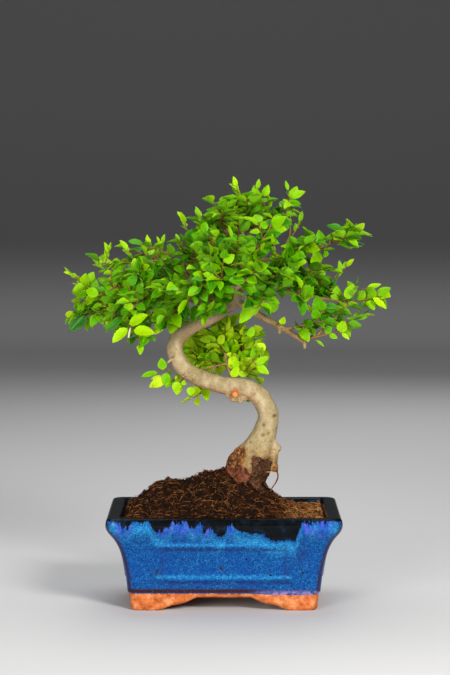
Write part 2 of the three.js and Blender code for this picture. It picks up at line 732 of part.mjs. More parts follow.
function sprayFace(twig, spray) {
  const middle = twig[Math.floor(twig.length / 2)].point;
  const centre = middle.z < lowPadTop ? lowPadCentre : canopyCentre;
  const random = point(draw(spray, 0, 1) - 0.5, draw(spray, 0, 2) - 0.5, draw(spray, 0, 3) - 0.5);
  return up.clone().multiplyScalar(faceUp)
    .addScaledVector(middle.clone().sub(centre).normalize(), faceOutwards)
    .addScaledVector(random, faceStray);
}

// A leaf on the left (side 1), the right (side -1) or the end (side 0) of its twig
function leafAt(frame, side, spray, number, attempt) {
  const chance = (purpose, spread) => spread * (draw(spray, number, purpose + 20 * attempt) - 0.5);
  const angle = side ? side * (leafAngle + chance(3, leafStray.angle)) : chance(3, leafStray.endAngle);
  const forward = frame.tangent.clone().multiplyScalar(Math.cos(angle))
    .addScaledVector(frame.left, Math.sin(angle));
  const axis = forward.addScaledVector(frame.normal, leafLift + chance(4, leafStray.lift)).normalize();
  const flat = frame.normal.clone().addScaledVector(axis, -frame.normal.dot(axis)).normalize();
  const roll = chance(5, leafStray.roll);
  const normal = flat.clone().multiplyScalar(Math.cos(roll))
    .addScaledVector(axis.clone().cross(flat), Math.sin(roll));
  const share = draw(spray, number, 6) * (side ? 1 : endLeafShare);
  const length = leafLength.least + (leafLength.most - leafLength.least) * share;
  return {
    base: frame.point.clone().addScaledVector(frame.left, side * frame.radius),
    axis, normal, left: normal.clone().cross(axis), length, side,
    halfWidth: leafHalfWidth * length,
    fold: leafFold.least + leafFold.spread * draw(spray, number, 7),
    droop: leafDroop.least + leafDroop.spread * draw(spray, number, 8),
  };
}

const placedLeaves = [];

function leafIsClear(leaf, samples) {
  const centre = bladePoint(leaf, 0.5, 0);
  return placedLeaves.every((other) => {
    const farthest = (leaf.length + other.reach) / 2 + leafClearance + leafReach;
    if (other.centre.distanceTo(centre) > farthest) return true;
    return samples.every((a) => other.samples.every((b) => a.distanceTo(b) > leafClearance));
  });
}

function clearOfWood(samples, wood, clearance) {
  return samples.every((a) => wood.every((other) => a.distanceTo(other.point) > other.radius + clearance));
}

// Leaves alternate along a twig, and one ends it
function placeLeaves({ twig, index }) {
  const face = sprayFace(twig, index);
  const length = lineLength(twig.map((sample) => sample.point));
  const nearWood = [...woodSamples, ...twigSamples].filter((sample) => !twig.includes(sample)
    && sample.point.distanceTo(twig[0].point) < nearby);
  const leaves = [];
  const places = [];
  for (let due = firstLeaf; due < length - 2 * rootHalf; due += leafSpacing) places.push(due);
  places.push(length);
  places.forEach((distance, number) => {
    const side = distance === length ? 0 : 1 - 2 * ((number + index) % 2);
    const frame = twigFrame(along(twig, distance), face);
    for (let attempt = 0; attempt < leafTries; attempt++) {
      const leaf = leafAt(frame, side, index, number + 1, attempt);
      const samples = bladeSamples(leaf);
      if (side && !clearOfWood(samples, twig, ownTwigClearance)) continue;
      if (!clearOfWood(samples, nearWood, woodClearance) || !leafIsClear(leaf, samples)) continue;
      placedLeaves.push({ centre: bladePoint(leaf, 0.5, 0), reach: leaf.length, samples });
      leaves.push({ ...leaf, distance });
      break;
    }
  });
  return leaves;
}

// A spray is one closed surface: a three-sided twig, and blades that grow out of openings in it
function makeSpray({ twig, index }) {
  const face = sprayFace(twig, index);
  const length = lineLength(twig.map((sample) => sample.point));
  const leaves = placeLeaves({ twig, index });
  const sideLeaves = leaves.filter((leaf) => leaf.side);
  const openings = sideLeaves.flatMap(({ distance }) => [distance - rootHalf, distance + rootHalf]);
  const stations = [seat, ...openings, length];
  const points = [];
  const faces = [];
  stations.forEach((distance) => {
    const frame = twigFrame(along(twig, distance), face);
    for (const [left, high] of twigSection) {
      points.push(frame.point.clone()
        .addScaledVector(frame.left, left * frame.radius)
        .addScaledVector(frame.normal, high * frame.radius));
    }
  });
  faces.push(0, 2, 1);
  for (let span = 0; span + 1 < stations.length; span++) {
    const leaf = span % 2 ? sideLeaves[(span - 1) / 2] : null;
    const open = leaf ? (leaf.side > 0 ? 2 : 0) : -1;
    const near = 3 * span;
    for (let side = 0; side < 3; side++) {
      const a = near + side;
      const b = near + (side + 1) % 3;
      if (side !== open) faces.push(a, b, b + 3, a, b + 3, a + 3);
    }
    if (leaf && leaf.side > 0) addBlade(points, faces, leaf, [near + 3, near], [near + 5, near + 2]);
    if (leaf && leaf.side < 0) addBlade(points, faces, leaf, [near, near + 3], [near + 1, near + 4]);
  }
  const end = 3 * (stations.length - 1);
  const last = leaves.find((leaf) => !leaf.side);
  if (last) addBlade(points, faces, last, [end, end], [end + 1, end + 2]);
  else faces.push(end, end + 1, end + 2);
  return solid(bareGeometry(points, faces));
}

// Adds a blade to a surface, between the edges that its upper and lower faces start from
function addBlade(points, faces, leaf, [upperFirst, upperLast], [lowerFirst, lowerLast]) {
  const start = points.length;
  for (const lift of [bladeThickness / 2, -bladeThickness / 2]) {
    for (const [u, v] of outlinePoints) points.push(bladePoint(leaf, u, v).addScaledVector(leaf.normal, lift));
  }
  const count = outlinePoints.length;
  const upper = [upperFirst, ...outlinePoints.map((_, step) => start + step), upperLast];
  const lower = [lowerFirst, ...outlinePoints.map((_, step) => start + count + step), lowerLast];
  const tip = 1 + outlinePoints.findIndex(([u]) => u === 1);
  for (let step = 0; step < upper.length; step++) {
    const next = (step + 1) % upper.length;
    if (step !== tip && next !== tip) {
      if (upper[step] !== upper[next]) faces.push(upper[tip], upper[step], upper[next]);
      faces.push(lower[tip], lower[next], lower[step]);
    }
    if (next === 0) continue;
    faces.push(upper[step], lower[step], lower[next], upper[step], lower[next], upper[next]);
  }
}

// The materials

const finish = (color, roughness) => new THREE.MeshStandardMaterial({ color, roughness, metalness: 0 });
const glaze = finish("#1d4f9e", 0.2);
const earth = finish("#3a2216", 0.95);
const bark = finish("#a48c70", 0.75);
const greens = ["#4f9a12", "#6fb51c", "#3f8a16", "#8cc723"].map((color) => finish(color, 0.45));
const plastic = finish("#20221f", 0.6);

// The whole

const bonsai = new THREE.Group();
function addPiece(name, manifold, material) {
  const mesh = new THREE.Mesh(geometryOf(manifold), material);
  mesh.name = name;
  bonsai.add(mesh);
}

addPiece("pot", makePot(), glaze);
addPiece("drain_mesh_left", makeMesh(-drainHoleX), plastic);
addPiece("drain_mesh_right", makeMesh(drainHoleX), plastic);
addPiece("soil", makeSoil(makeRootHole()), earth);
addPiece("wood", makeWood(), bark);
shoots.forEach((entry) => {
  const name = `spray_${String(entry.index + 1).padStart(2, "0")}`;
  addPiece(name, makeSpray(entry), greens[entry.index % greens.length]);
});

const extent = new THREE.Box3().setFromObject(bonsai);
bonsai.position.set(-(extent.min.x + extent.max.x) / 2, -(extent.min.y + extent.max.y) / 2, -extent.min.z);

export default bonsai;
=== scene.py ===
"""Looks of a sweet plum bonsai in a glazed pot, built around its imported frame.

Lengths are in millimetres about the middle of the pot's foot, +X to the right, +Y away and +Z up.
make_piece turns them into the frame's metres. The tree's lines and rules are those of the part.
"""
import json
import math

import bmesh
import bpy
import numpy as np
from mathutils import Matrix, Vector

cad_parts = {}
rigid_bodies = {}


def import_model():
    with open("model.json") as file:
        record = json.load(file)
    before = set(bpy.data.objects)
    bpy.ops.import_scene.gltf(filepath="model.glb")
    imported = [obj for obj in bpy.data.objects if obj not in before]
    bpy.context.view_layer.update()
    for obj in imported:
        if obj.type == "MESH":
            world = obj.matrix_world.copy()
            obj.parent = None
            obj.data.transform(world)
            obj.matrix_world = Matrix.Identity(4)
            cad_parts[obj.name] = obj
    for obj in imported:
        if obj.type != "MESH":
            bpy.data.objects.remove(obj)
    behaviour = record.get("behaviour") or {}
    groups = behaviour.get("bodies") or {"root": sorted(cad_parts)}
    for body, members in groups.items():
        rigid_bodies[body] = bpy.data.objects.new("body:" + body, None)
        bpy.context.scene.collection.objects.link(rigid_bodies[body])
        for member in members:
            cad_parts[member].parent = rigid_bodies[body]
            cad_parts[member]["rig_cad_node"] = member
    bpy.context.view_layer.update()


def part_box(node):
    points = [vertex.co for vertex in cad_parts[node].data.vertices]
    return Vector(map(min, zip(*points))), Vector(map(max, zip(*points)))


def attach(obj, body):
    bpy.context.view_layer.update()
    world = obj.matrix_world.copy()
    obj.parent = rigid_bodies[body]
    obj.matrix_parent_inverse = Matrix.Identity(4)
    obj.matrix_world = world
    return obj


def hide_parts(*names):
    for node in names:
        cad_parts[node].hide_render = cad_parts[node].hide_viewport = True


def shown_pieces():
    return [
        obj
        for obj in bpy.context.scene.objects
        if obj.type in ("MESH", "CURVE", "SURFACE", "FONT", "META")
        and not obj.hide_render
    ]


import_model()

pot_low, pot_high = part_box("pot")
MM = 1000.0
foot_bottom = -2.3
origin = np.array([(pot_low.x + pot_high.x) / 2, (pot_low.y + pot_high.y) / 2, pot_low.z - foot_bottom / MM])

# Camera: where it stands in front of the pot, how far it looks down, and its lens
camera_place = (0.9, -2275.0, 385.0)
camera_pitch = math.radians(3.89)
camera_lens, camera_sensor = 138.45, 36.0

# The trunk's centreline, x, y, z, and its radius there
trunk_line = [
    (20, 0, 58, 12), (20, 0, 76, 15.5), (19.5, 0, 90, 18), (20, 0, 102, 18.5), (23, 0, 114, 18.5),
    (28, -1, 126, 16.5), (32.5, -2, 138, 12.4), (37, -3, 150, 9.8), (38.7, -4, 161, 9.2), (36, -5, 171, 8.9),
    (31, -6, 179, 8.7), (22, -7, 185.5, 8.4), (11, -7, 187.3, 8), (1, -6, 188.3, 7.7), (-10, -4, 191.3, 7.5),
    (-20.6, -1, 194.6, 7.4), (-30, 2, 199, 7.3), (-37.8, 4, 206, 7.2), (-43, 6, 216.7, 7.2),
    (-42, 6, 226.3, 7.2), (-35, 5, 236, 7.2), (-25.5, 3, 241.7, 7), (-14, 1, 247, 6.7), (-2, 0, 253.6, 6.1),
    (9, 0, 262, 5.2), (12, 0, 273, 4.1), (14, 0, 290, 3.1), (16.5, 0, 307, 2.4), (15.8, 0, 330, 1.5),
]

# Branches and roots: radius at the start and at the end, then the centreline
branches = [
    (3.8, 1.4, (-8, 0, 251), (-24, -12, 263), (-45, -16, 267), (-69, -14, 265), (-93, -8, 262)),
    (3.3, 1.2, (-2, 0, 254), (-17, 15, 269), (-40, 32, 277), (-61, 40, 278)),
    (3.0, 1.2, (12, 0, 270), (-8, 0, 285), (-30, 2, 295), (-56, 5, 297), (-80, 8, 295)),
    (3.5, 2.2, (12, 0, 262), (33, -6, 249), (52, -10, 239), (71, -14, 227)),
    (2.0, 1.1, (66, -13, 230), (76, -11, 231), (86, -8, 237), (92, -5, 249)),
    (2.9, 1.1, (12, 0, 272), (33, 10, 276), (58, 12, 272), (80, 8, 266), (104, 3, 261)),
    (2.7, 1.0, (15, 0, 290), (33, -5, 298), (53, -9, 301), (71, -5, 304), (88, -2, 311)),
    (1.9, 0.9, (50, -8, 301), (57, -8, 320), (58, -6, 338)),
    (2.4, 1.0, (12, 0, 274), (27, 25, 281), (43, 45, 287)),
    (2.6, 1.1, (10, 0, 268), (4, -24, 279), (-4, -46, 286)),
    (2.4, 1.1, (12, 0, 270), (24, -24, 277), (34, -46, 280)),
    (2.4, 1.0, (14, 0, 284), (10, 30, 288), (5, 56, 291)),
    (2.0, 0.9, (16, 0, 306), (4, -4, 320), (-4, -8, 330)),
    (2.6, 1.1, (4, -4, 190), (5, 10, 192), (8, 22, 199), (6, 30, 208)),
    (1.8, 0.9, (-34, 4, 203), (-40, 13, 197), (-44, 18, 192)),
]
roots = [
    (8, 3, (18, -6, 100), (4, -16, 92), (-6, -22, 68)),
    (8, 3.5, (25, -8, 100), (32, -17, 90), (36, -24, 62)),
    (8, 3, (27, 6, 102), (36, 12, 90), (42, 16, 62)),
    (8, 3.5, (24, 10, 100), (22, 24, 92), (18, 32, 64)),
    (7, 3, (12, 4, 98), (-4, 10, 92), (-14, 15, 68)),
    (5.5, 8.5, (26.5, -2, 138), (14, -4, 127), (8.2, -5, 116), (7.5, -5, 98), (7.5, -5, 76)),
    (2.9, 4.6, (39, -4, 148), (44.2, -5, 135), (43.6, -5.5, 124), (42.4, -6, 113)),
]

# Knots under the pruning scar and cut ends of twigs, as the branches are
stubs = [
    (5.4, 3.4, (9, -8, 187), (9.5, -10.5, 174.5)),
    (3.2, 1.8, (17, -8, 184), (18.5, -9.5, 175.5)),
    (2.6, 1.3, (3.5, -7, 185), (2.5, -9, 178)),
    (1.9, 1.5, (49, -9, 240), (48.5, -12, 234)),
    (1.9, 1.5, (70, -14, 228), (70.5, -16, 221.5)),
    (1.5, 1.2, (-42, 1, 214), (-50, -3, 208)),
    (1.4, 1.1, (-33, -2, 199), (-36, -8, 196)),
    (1.5, 1.1, (38, -6, 165), (44.5, -10, 166.5)),
]
hanging_root = (0.75, 0.5, (45, -6, 117), (47.4, -6.5, 109), (45.5, -7, 103), (41, -8, 96), (37, -9, 84))

# Tips of the leafy sprays
spray_tips = [
    (-129, -5, 283), (-126, -10, 249), (-109, 10, 298), (-121, 30, 263), (-98, -35, 279), (-97, -30, 247),
    (-85, 20, 308), (-77, -30, 239), (-71, -5, 312), (-72, -45, 291), (-80, -55, 266), (-86, 50, 281),
    (-52, -60, 278), (-51, -40, 252), (-58, 60, 292), (-36, -10, 316), (-31, -72, 268),
    (-31, 62, 296), (-21, 5, 333), (-10, -18, 349), (-10, -50, 320), (-8, 50, 328), (-14, -45, 257),
    (12, 0, 357), (3, -40, 341), (19, 40, 346), (33, -10, 354), (14, -75, 315), (-2, -80, 285),
    (26, -80, 293), (41, -50, 331), (45, 35, 337), (32, -60, 268), (58, -5, 352), (70, -40, 313),
    (56, -70, 299), (80, 15, 312), (113, -5, 323), (86, -10, 291), (70, 44, 276), (66, -40, 266),
    (94, 22, 269), (134, 0, 267), (86, -24, 246), (108, 0, 242), (24, 82, 304), (-6, 86, 290),
    (46, 78, 281), (-12, 38, 226), (20, 42, 228), (34, 26, 208), (-24, 34, 208),
    (4, 46, 238), (-54, 18, 192), (-28, 12, 176),
]

# Rules that the shoots and leaves of the part follow
spray_length = 29
shortest_spray = 23
shoot_stub = 3.5
shoot_step, path_step = 1.2, 1.4
shoot_radius, twig_radii = (1.7, 1.0), (0.85, 0.5)  # at the foot, a shoot's at most, and at the end
twig_to_wood, twig_to_twig = 0.8, 1.2
crown_foot, limb_foot = 256, 12  # shoots start above this height on the trunk, and this far along a limb
leaf_spacing = 4.7
first_leaf = 4.5
root_half = 0.65
leaf_least, leaf_most = 12, 17.5
shoulder, waist = 0.36, 0.7
leaf_angle = 1.05
canopy_centre = np.array([8, 0, 252.0])
low_pad_centre = np.array([8, 6, 196.0])
low_pad_top = 234
leaf_clearance, leaf_spare = 2.3, 4
wood_clearance, own_twig_clearance = 1.9, 0.7
near_reach = 60
leaf_tries = 12
shoot_tries = 40
up = np.array([0, 0, 1.0])


def unit(vector):
    return vector / np.linalg.norm(vector)


def smoothstep(value, low, high):
    share = np.clip((np.asarray(value, float) - low) / (high - low), 0, 1)
    return share * share * (3 - 2 * share)


def bell(value, middle, spread):
    """1 at the middle, and smoothly down to 0 about two spreads away."""
    return np.exp(-((value - middle) / spread) ** 2)


def draw(a, b, c):
    """A number from 0 to 1 that depends only on three whole numbers."""
    mask = 0xFFFFFFFF
    h = ((a + 1) * 0x9E3779B1 ^ (b + 1) * 0x85EBCA6B ^ (c + 1) * 0xC2B2AE35) & mask
    h = ((h ^ (h >> 15)) * 0x2C1B3C6D) & mask
    h = ((h ^ (h >> 12)) * 0x297A2D39) & mask
    return (h ^ (h >> 15)) / 4294967296


def lump(points, size, seed=0):
    """Smooth random values from -1 to 1 at points, in lumps of about a given size."""
    places = np.asarray(points, float) / size + 100.0
    cell = np.floor(places).astype(np.int64)
    share = places - cell
    share = share * share * (3 - 2 * share)
    total = np.zeros(len(places))
    for corner in range(8):
        step = np.array([corner & 1, corner >> 1 & 1, corner >> 2 & 1])
        at = cell + step
        h = (at[:, 0] * 374761393 + at[:, 1] * 668265263 + at[:, 2] * 1442695041 + seed * 69069) & 0xFFFFFFFF
        h = ((h ^ (h >> 13)) * 1274126177) & 0xFFFFFFFF
        value = ((h ^ (h >> 16)) & 0xFFFF) / 32767.5 - 1
        weight = np.prod(np.where(step, share, 1 - share), axis=1)
        total += value * weight
    return total


# Smooth paths, as in the part


def curve_points(places, shares):
    """Points of the Catmull-Rom curve through places, at shares of its whole from 0 to 1."""
    places = np.array(places, float)
    padded = np.vstack([2 * places[0] - places[1], places, 2 * places[-1] - places[-2]])
    spans = len(places) - 1
    along_spans = np.asarray(shares, float) * spans
    span = np.minimum(along_spans.astype(int), spans - 1)
    w = (along_spans - span)[:, None]
    p0, p1, p2, p3 = (padded[span + step] for step in range(4))
    start_pull, end_pull = 0.5 * (p2 - p0), 0.5 * (p3 - p1)
    return (p1 + start_pull * w + (3 * (p2 - p1) - 2 * start_pull - end_pull) * w ** 2
            + (2 * (p1 - p2) + start_pull + end_pull) * w ** 3)


def path_through(places, radii, step):
    """Samples of a smooth path: its points, tangents and radii."""
    whole = curve_points(places, np.linspace(0, 1, 201))
    length = np.linalg.norm(np.diff(whole, axis=0), axis=1).sum()
    spans = len(places) - 1
    count = spans * max(1, math.floor(length / step / spans + 0.5))
    shares = np.arange(count + 1) / count
    span = np.minimum((shares * spans).astype(int), spans - 1)
    radii = np.array(radii, float)
    radius = radii[span] + (radii[span + 1] - radii[span]) * (shares * spans - span)
    nearby = 0.0001
    ahead = curve_points(places, np.minimum(shares + nearby, 1))
    behind = curve_points(places, np.maximum(shares - nearby, 0))
    tangents = ahead - behind
    tangents /= np.linalg.norm(tangents, axis=1)[:, None]
    return curve_points(places, shares), tangents, radius


def limb_path(limb, step):
    start, end, *line = limb
    return path_through(line, np.linspace(start, end, len(line)), step)


def trunk_path(step):
    return path_through([entry[:3] for entry in trunk_line], [entry[3] for entry in trunk_line], step)


# The shoots: the same rule as the part's, so that the sprays stand where its sprays stand


def shoot_line(start, tangent, tip, index, attempt):
    reach = np.linalg.norm(tip - start)
    towards = (tip - start) / reach
    stray = np.array([draw(index, attempt, axis) - 0.5 for axis in (1, 2, 3)])
    start_pull = unit(tangent * 0.5 + towards + stray * (0.5 + 0.5 * attempt)) * reach
    end_pull = unit(towards + up * 0.15 - stray * (0.6 + 0.4 * attempt)) * reach
    count = math.ceil(reach / shoot_step)
    t = (np.arange(count + 1) / count)[:, None]
    return (start * (2 * t ** 3 - 3 * t ** 2 + 1) + start_pull * (t ** 3 - 2 * t ** 2 + t)
            + tip * (3 * t ** 2 - 2 * t ** 3) + end_pull * (t ** 3 - t ** 2))


def sampled(line, start_radius, end_radius):
    order = np.arange(len(line))
    tangents = line[np.minimum(order + 1, len(line) - 1)] - line[np.maximum(order - 1, 0)]
    tangents /= np.linalg.norm(tangents, axis=1)[:, None]
    return line, tangents, start_radius + (end_radius - start_radius) * order / (len(line) - 1)


def is_clear(points, radii, other_points, other_radii, gap):
    """True where round samples, or points where the radii are 0, keep a gap from other round samples."""
    apart = np.linalg.norm(points[:, None] - other_points[None], axis=2)
    return bool((apart > np.reshape(radii, (-1, 1)) + other_radii + gap).all())


def grow_shoots():
    """Every spray's shoot and twig, with the samples of all the wood."""
    wood, origins = [], []
    for limb in [None] + branches:
        path = limb_path(limb, path_step) if limb else trunk_path(path_step)
        points = path[0]
        bearing = np.linalg.norm(points - limb[2], axis=1) > limb_foot if limb else points[:, 2] > crown_foot
        wood.append((points, path[2]))
        origins.append(tuple(column[bearing] for column in path))
    twigs = np.zeros((0, 3)), np.zeros(0)
    shoots = []
    for index, tip in enumerate(np.array(spray_tips, float)):
        points, tangents, radii = (np.concatenate(column) for column in zip(*origins))
        reach = np.linalg.norm(tip - points, axis=1)
        far = reach > shortest_spray + radii + shoot_stub
        cost = reach * (1.6 - np.einsum("ij,ij->i", tangents, tip - points) / reach)
        ranked = [entry for entry in np.argsort(cost, kind="stable") if far[entry]]
        wood_points, wood_radii = (np.concatenate(column) for column in zip(*wood))
        for attempt in range(shoot_tries):
            entry = ranked[min(len(ranked) - 1, attempt * 3)]
            whole = shoot_line(points[entry], tangents[entry], tip, index, attempt)
            steps = np.linalg.norm(np.diff(whole, axis=0), axis=1)
            tail = min(spray_length, steps.sum() - radii[entry] - shoot_stub)
            walked, cut = 0.0, len(whole) - 1
            while cut > 1 and walked < tail:
                walked += steps[cut - 1]
                cut -= 1
            shoot = sampled(whole[:cut + 1], min(radii[entry] * 0.75, shoot_radius[0]), shoot_radius[1])
            twig = sampled(whole[cut:], *twig_radii)
            if (is_clear(twig[0], twig[2], wood_points, wood_radii, twig_to_wood)
                    and is_clear(twig[0][4:], twig[2][4:], shoot[0][:-8], shoot[2][:-8], twig_to_wood)
                    and is_clear(twig[0], twig[2], *twigs, twig_to_twig)
                    and is_clear(shoot[0], shoot[2], *twigs, twig_to_twig)):
                break
        shoots.append((shoot, twig))
        twigs = np.concatenate([twigs[0], twig[0]]), np.concatenate([twigs[1], twig[2]])
        wood.append((shoot[0], shoot[2]))
        origins.append(tuple(column[6:] for column in shoot))
    return shoots, tuple(np.concatenate(column) for column in zip(*wood)), twigs


# The leaves: places and turns by the part's rule


class Leaf:
    """A leaf's place, axes and sizes."""

    def __init__(self, base, axis, normal, length, half_width, fold, droop, tone, serial):
        self.base, self.axis, self.normal = base, axis, normal
        self.left = np.cross(normal, axis)
        self.length, self.half_width = length, half_width
        self.fold, self.droop = fold, droop
        self.tone, self.serial = tone, serial

    def at(self, u, v):
        """Points of the plain blade: u runs from base to tip, v from -1 to 1 across."""
        width = self.half_width * plain_outline(u)
        lift = self.fold * np.abs(v) * width - self.droop * u * u * self.length
        return (self.base + self.axis * (u * self.length)[:, None] + self.left * (-v * width)[:, None]
                + self.normal * lift[:, None])


def plain_outline(u):
    return np.where(u < shoulder, 0.1 + 0.9 * u / shoulder,
                    np.where(u < waist, 1 - 0.2 * (u - shoulder) / (waist - shoulder),
                             0.8 * (1 - u) / (1 - waist)))


def sample_grid(from_u, along, across):
    rows = np.arange(from_u, 1.01, along)
    columns = np.arange(-1, 1.01, across)
    u, v = np.meshgrid(np.minimum(rows, 1), columns, indexing="ij")
    return u.ravel(), v.ravel()


close_grid = sample_grid(0.25, 0.094, 1 / 3)
wide_grid = sample_grid(0.34, 0.22, 0.95)


def along(path, distance):
    points, tangents, radii = path
    steps = np.linalg.norm(np.diff(points, axis=0), axis=1)
    ends = np.cumsum(steps)
    index = min(int(np.searchsorted(ends, distance)), len(steps) - 1)
    share = min(1, (distance - (ends[index] - steps[index])) / steps[index])
    return (points[index] + (points[index + 1] - points[index]) * share,
            unit(tangents[index] + (tangents[index + 1] - tangents[index]) * share),
            radii[index] + (radii[index + 1] - radii[index]) * share)


def spray_face(middle, spray):
    centre = low_pad_centre if middle[2] < low_pad_top else canopy_centre
    random = np.array([draw(spray, 0, axis) - 0.5 for axis in (1, 2, 3)])
    return up * 0.8 + unit(middle - centre) * 0.6 + random * 1.1


def leaf_at(place, face, side, spray, number, attempt, sizes=(leaf_least, leaf_most), shape=0.27):
    point, tangent, radius = place
    frame_normal = unit(face - tangent * face.dot(tangent))
    frame_left = np.cross(frame_normal, tangent)

    def chance(purpose, spread):
        return spread * (draw(spray, number, purpose + 20 * attempt) - 0.5)

    angle = side * (leaf_angle + chance(3, 0.3)) if side else chance(3, 0.5)
    lift = 0.1 + chance(4, 0.7)
    axis = unit(tangent * math.cos(angle) + frame_left * math.sin(angle) + frame_normal * lift)
    flat = unit(frame_normal - axis * frame_normal.dot(axis))
    roll = chance(5, 1.5)
    normal = flat * math.cos(roll) + np.cross(axis, flat) * math.sin(roll)
    length = sizes[0] + (sizes[1] - sizes[0]) * draw(spray, number, 6) * (1 if side else 0.6)
    return Leaf(point + frame_left * side * radius, axis, normal, length, shape * length,
                0.15 + 0.35 * draw(spray, number, 7), 0.05 + 0.2 * draw(spray, number, 8),
                draw(spray, number, 9), spray * 1000 + number)


class Crown:
    """All leaves placed so far, for tests of clearance."""

    def __init__(self):
        self.centres, self.lengths, self.samples = np.zeros((0, 3)), np.zeros(0), []

    def near(self, leaf, spare):
        centre = leaf.at(np.array([0.5]), np.array([0.0]))[0]
        apart = np.linalg.norm(self.centres - centre, axis=1)
        return centre, np.nonzero(apart <= (leaf.length + self.lengths) / 2 + spare)[0]

    def is_free(self, leaf, samples, clearance, spare):
        return all(
            np.linalg.norm(samples[:, None] - self.samples[index][None], axis=2).min() > clearance
            for index in self.near(leaf, spare)[1])

    def add(self, leaf, samples):
        self.centres = np.vstack([self.centres, self.near(leaf, 0)[0]])
        self.lengths = np.append(self.lengths, leaf.length)
        self.samples.append(samples)


def place_leaves(crown, shoots, wood, twigs):
    """The leaves that the part has, a list for each spray."""
    sprays = []
    for index, (_, twig) in enumerate(shoots):
        points, _, radii = twig
        length = np.linalg.norm(np.diff(points, axis=0), axis=1).sum()
        own_first = sum(len(other[0]) for _, other in shoots[:index])
        other_twigs = np.ones(len(twigs[0]), bool)
        other_twigs[own_first:own_first + len(points)] = False
        near_points = np.concatenate([wood[0], twigs[0][other_twigs]])
        near_radii = np.concatenate([wood[1], twigs[1][other_twigs]])
        near = np.linalg.norm(near_points - points[0], axis=1) < near_reach
        near_points, near_radii = near_points[near], near_radii[near]
        face = spray_face(points[len(points) // 2], index)
        places = list(np.arange(first_leaf, length - 2 * root_half, leaf_spacing)) + [length]
        leaves = []
        for number, distance in enumerate(places):
            side = 0 if distance == length else 1 - 2 * ((number + index) % 2)
            for attempt in range(leaf_tries):
                leaf = leaf_at(along(twig, distance), face, side, index, number + 1, attempt)
                samples = leaf.at(*close_grid)
                if side and not is_clear(samples, 0, points, radii, own_twig_clearance):
                    continue
                if not is_clear(samples, 0, near_points, near_radii, wood_clearance):
                    continue
                if not crown.is_free(leaf, samples, leaf_clearance, leaf_clearance + leaf_spare):
                    continue
                crown.add(leaf, samples)
                leaves.append(leaf)
                break
        sprays.append(leaves)
    return sprays


# More twigs and leaves, which fill the crown out between those of the part
twigs_per_spray = 8
low_pad_twigs = 13
left_pad_twigs = 9
sparse_twigs = 3
bend_twigs = 1
fill_length, fill_radii = (11, 24), (0.62, 0.32)
fill_first = 3.2
fill_leaf = (9.5, 16)
small_fill_leaf = (8, 13.5)
low_pad_right = 35
fill_spacing = 3.7
fill_clearance = 1.0
fill_wood_clearance, fill_wood_spare = 0.7, 10
fill_reach = 15.0  # a filling leaf's middle lies at most this far from the middle of a leaf of the part
fill_tries = 5
fill_neighbourhood = 11.0
fill_overshoot = 1.0
# How high the crown reaches in the front view: x and height
crown_top = [(-133, 277), (-116, 286), (-105, 294), (-95, 300), (-82, 302), (-62, 306), (-37, 307),
             (-29, 320), (-15, 339), (-7, 343), (-2, 356), (13, 355), (27, 360), (42, 357), (55, 350),
             (71, 342), (78, 333), (105, 333), (120, 330), (122, 284), (146, 282)]

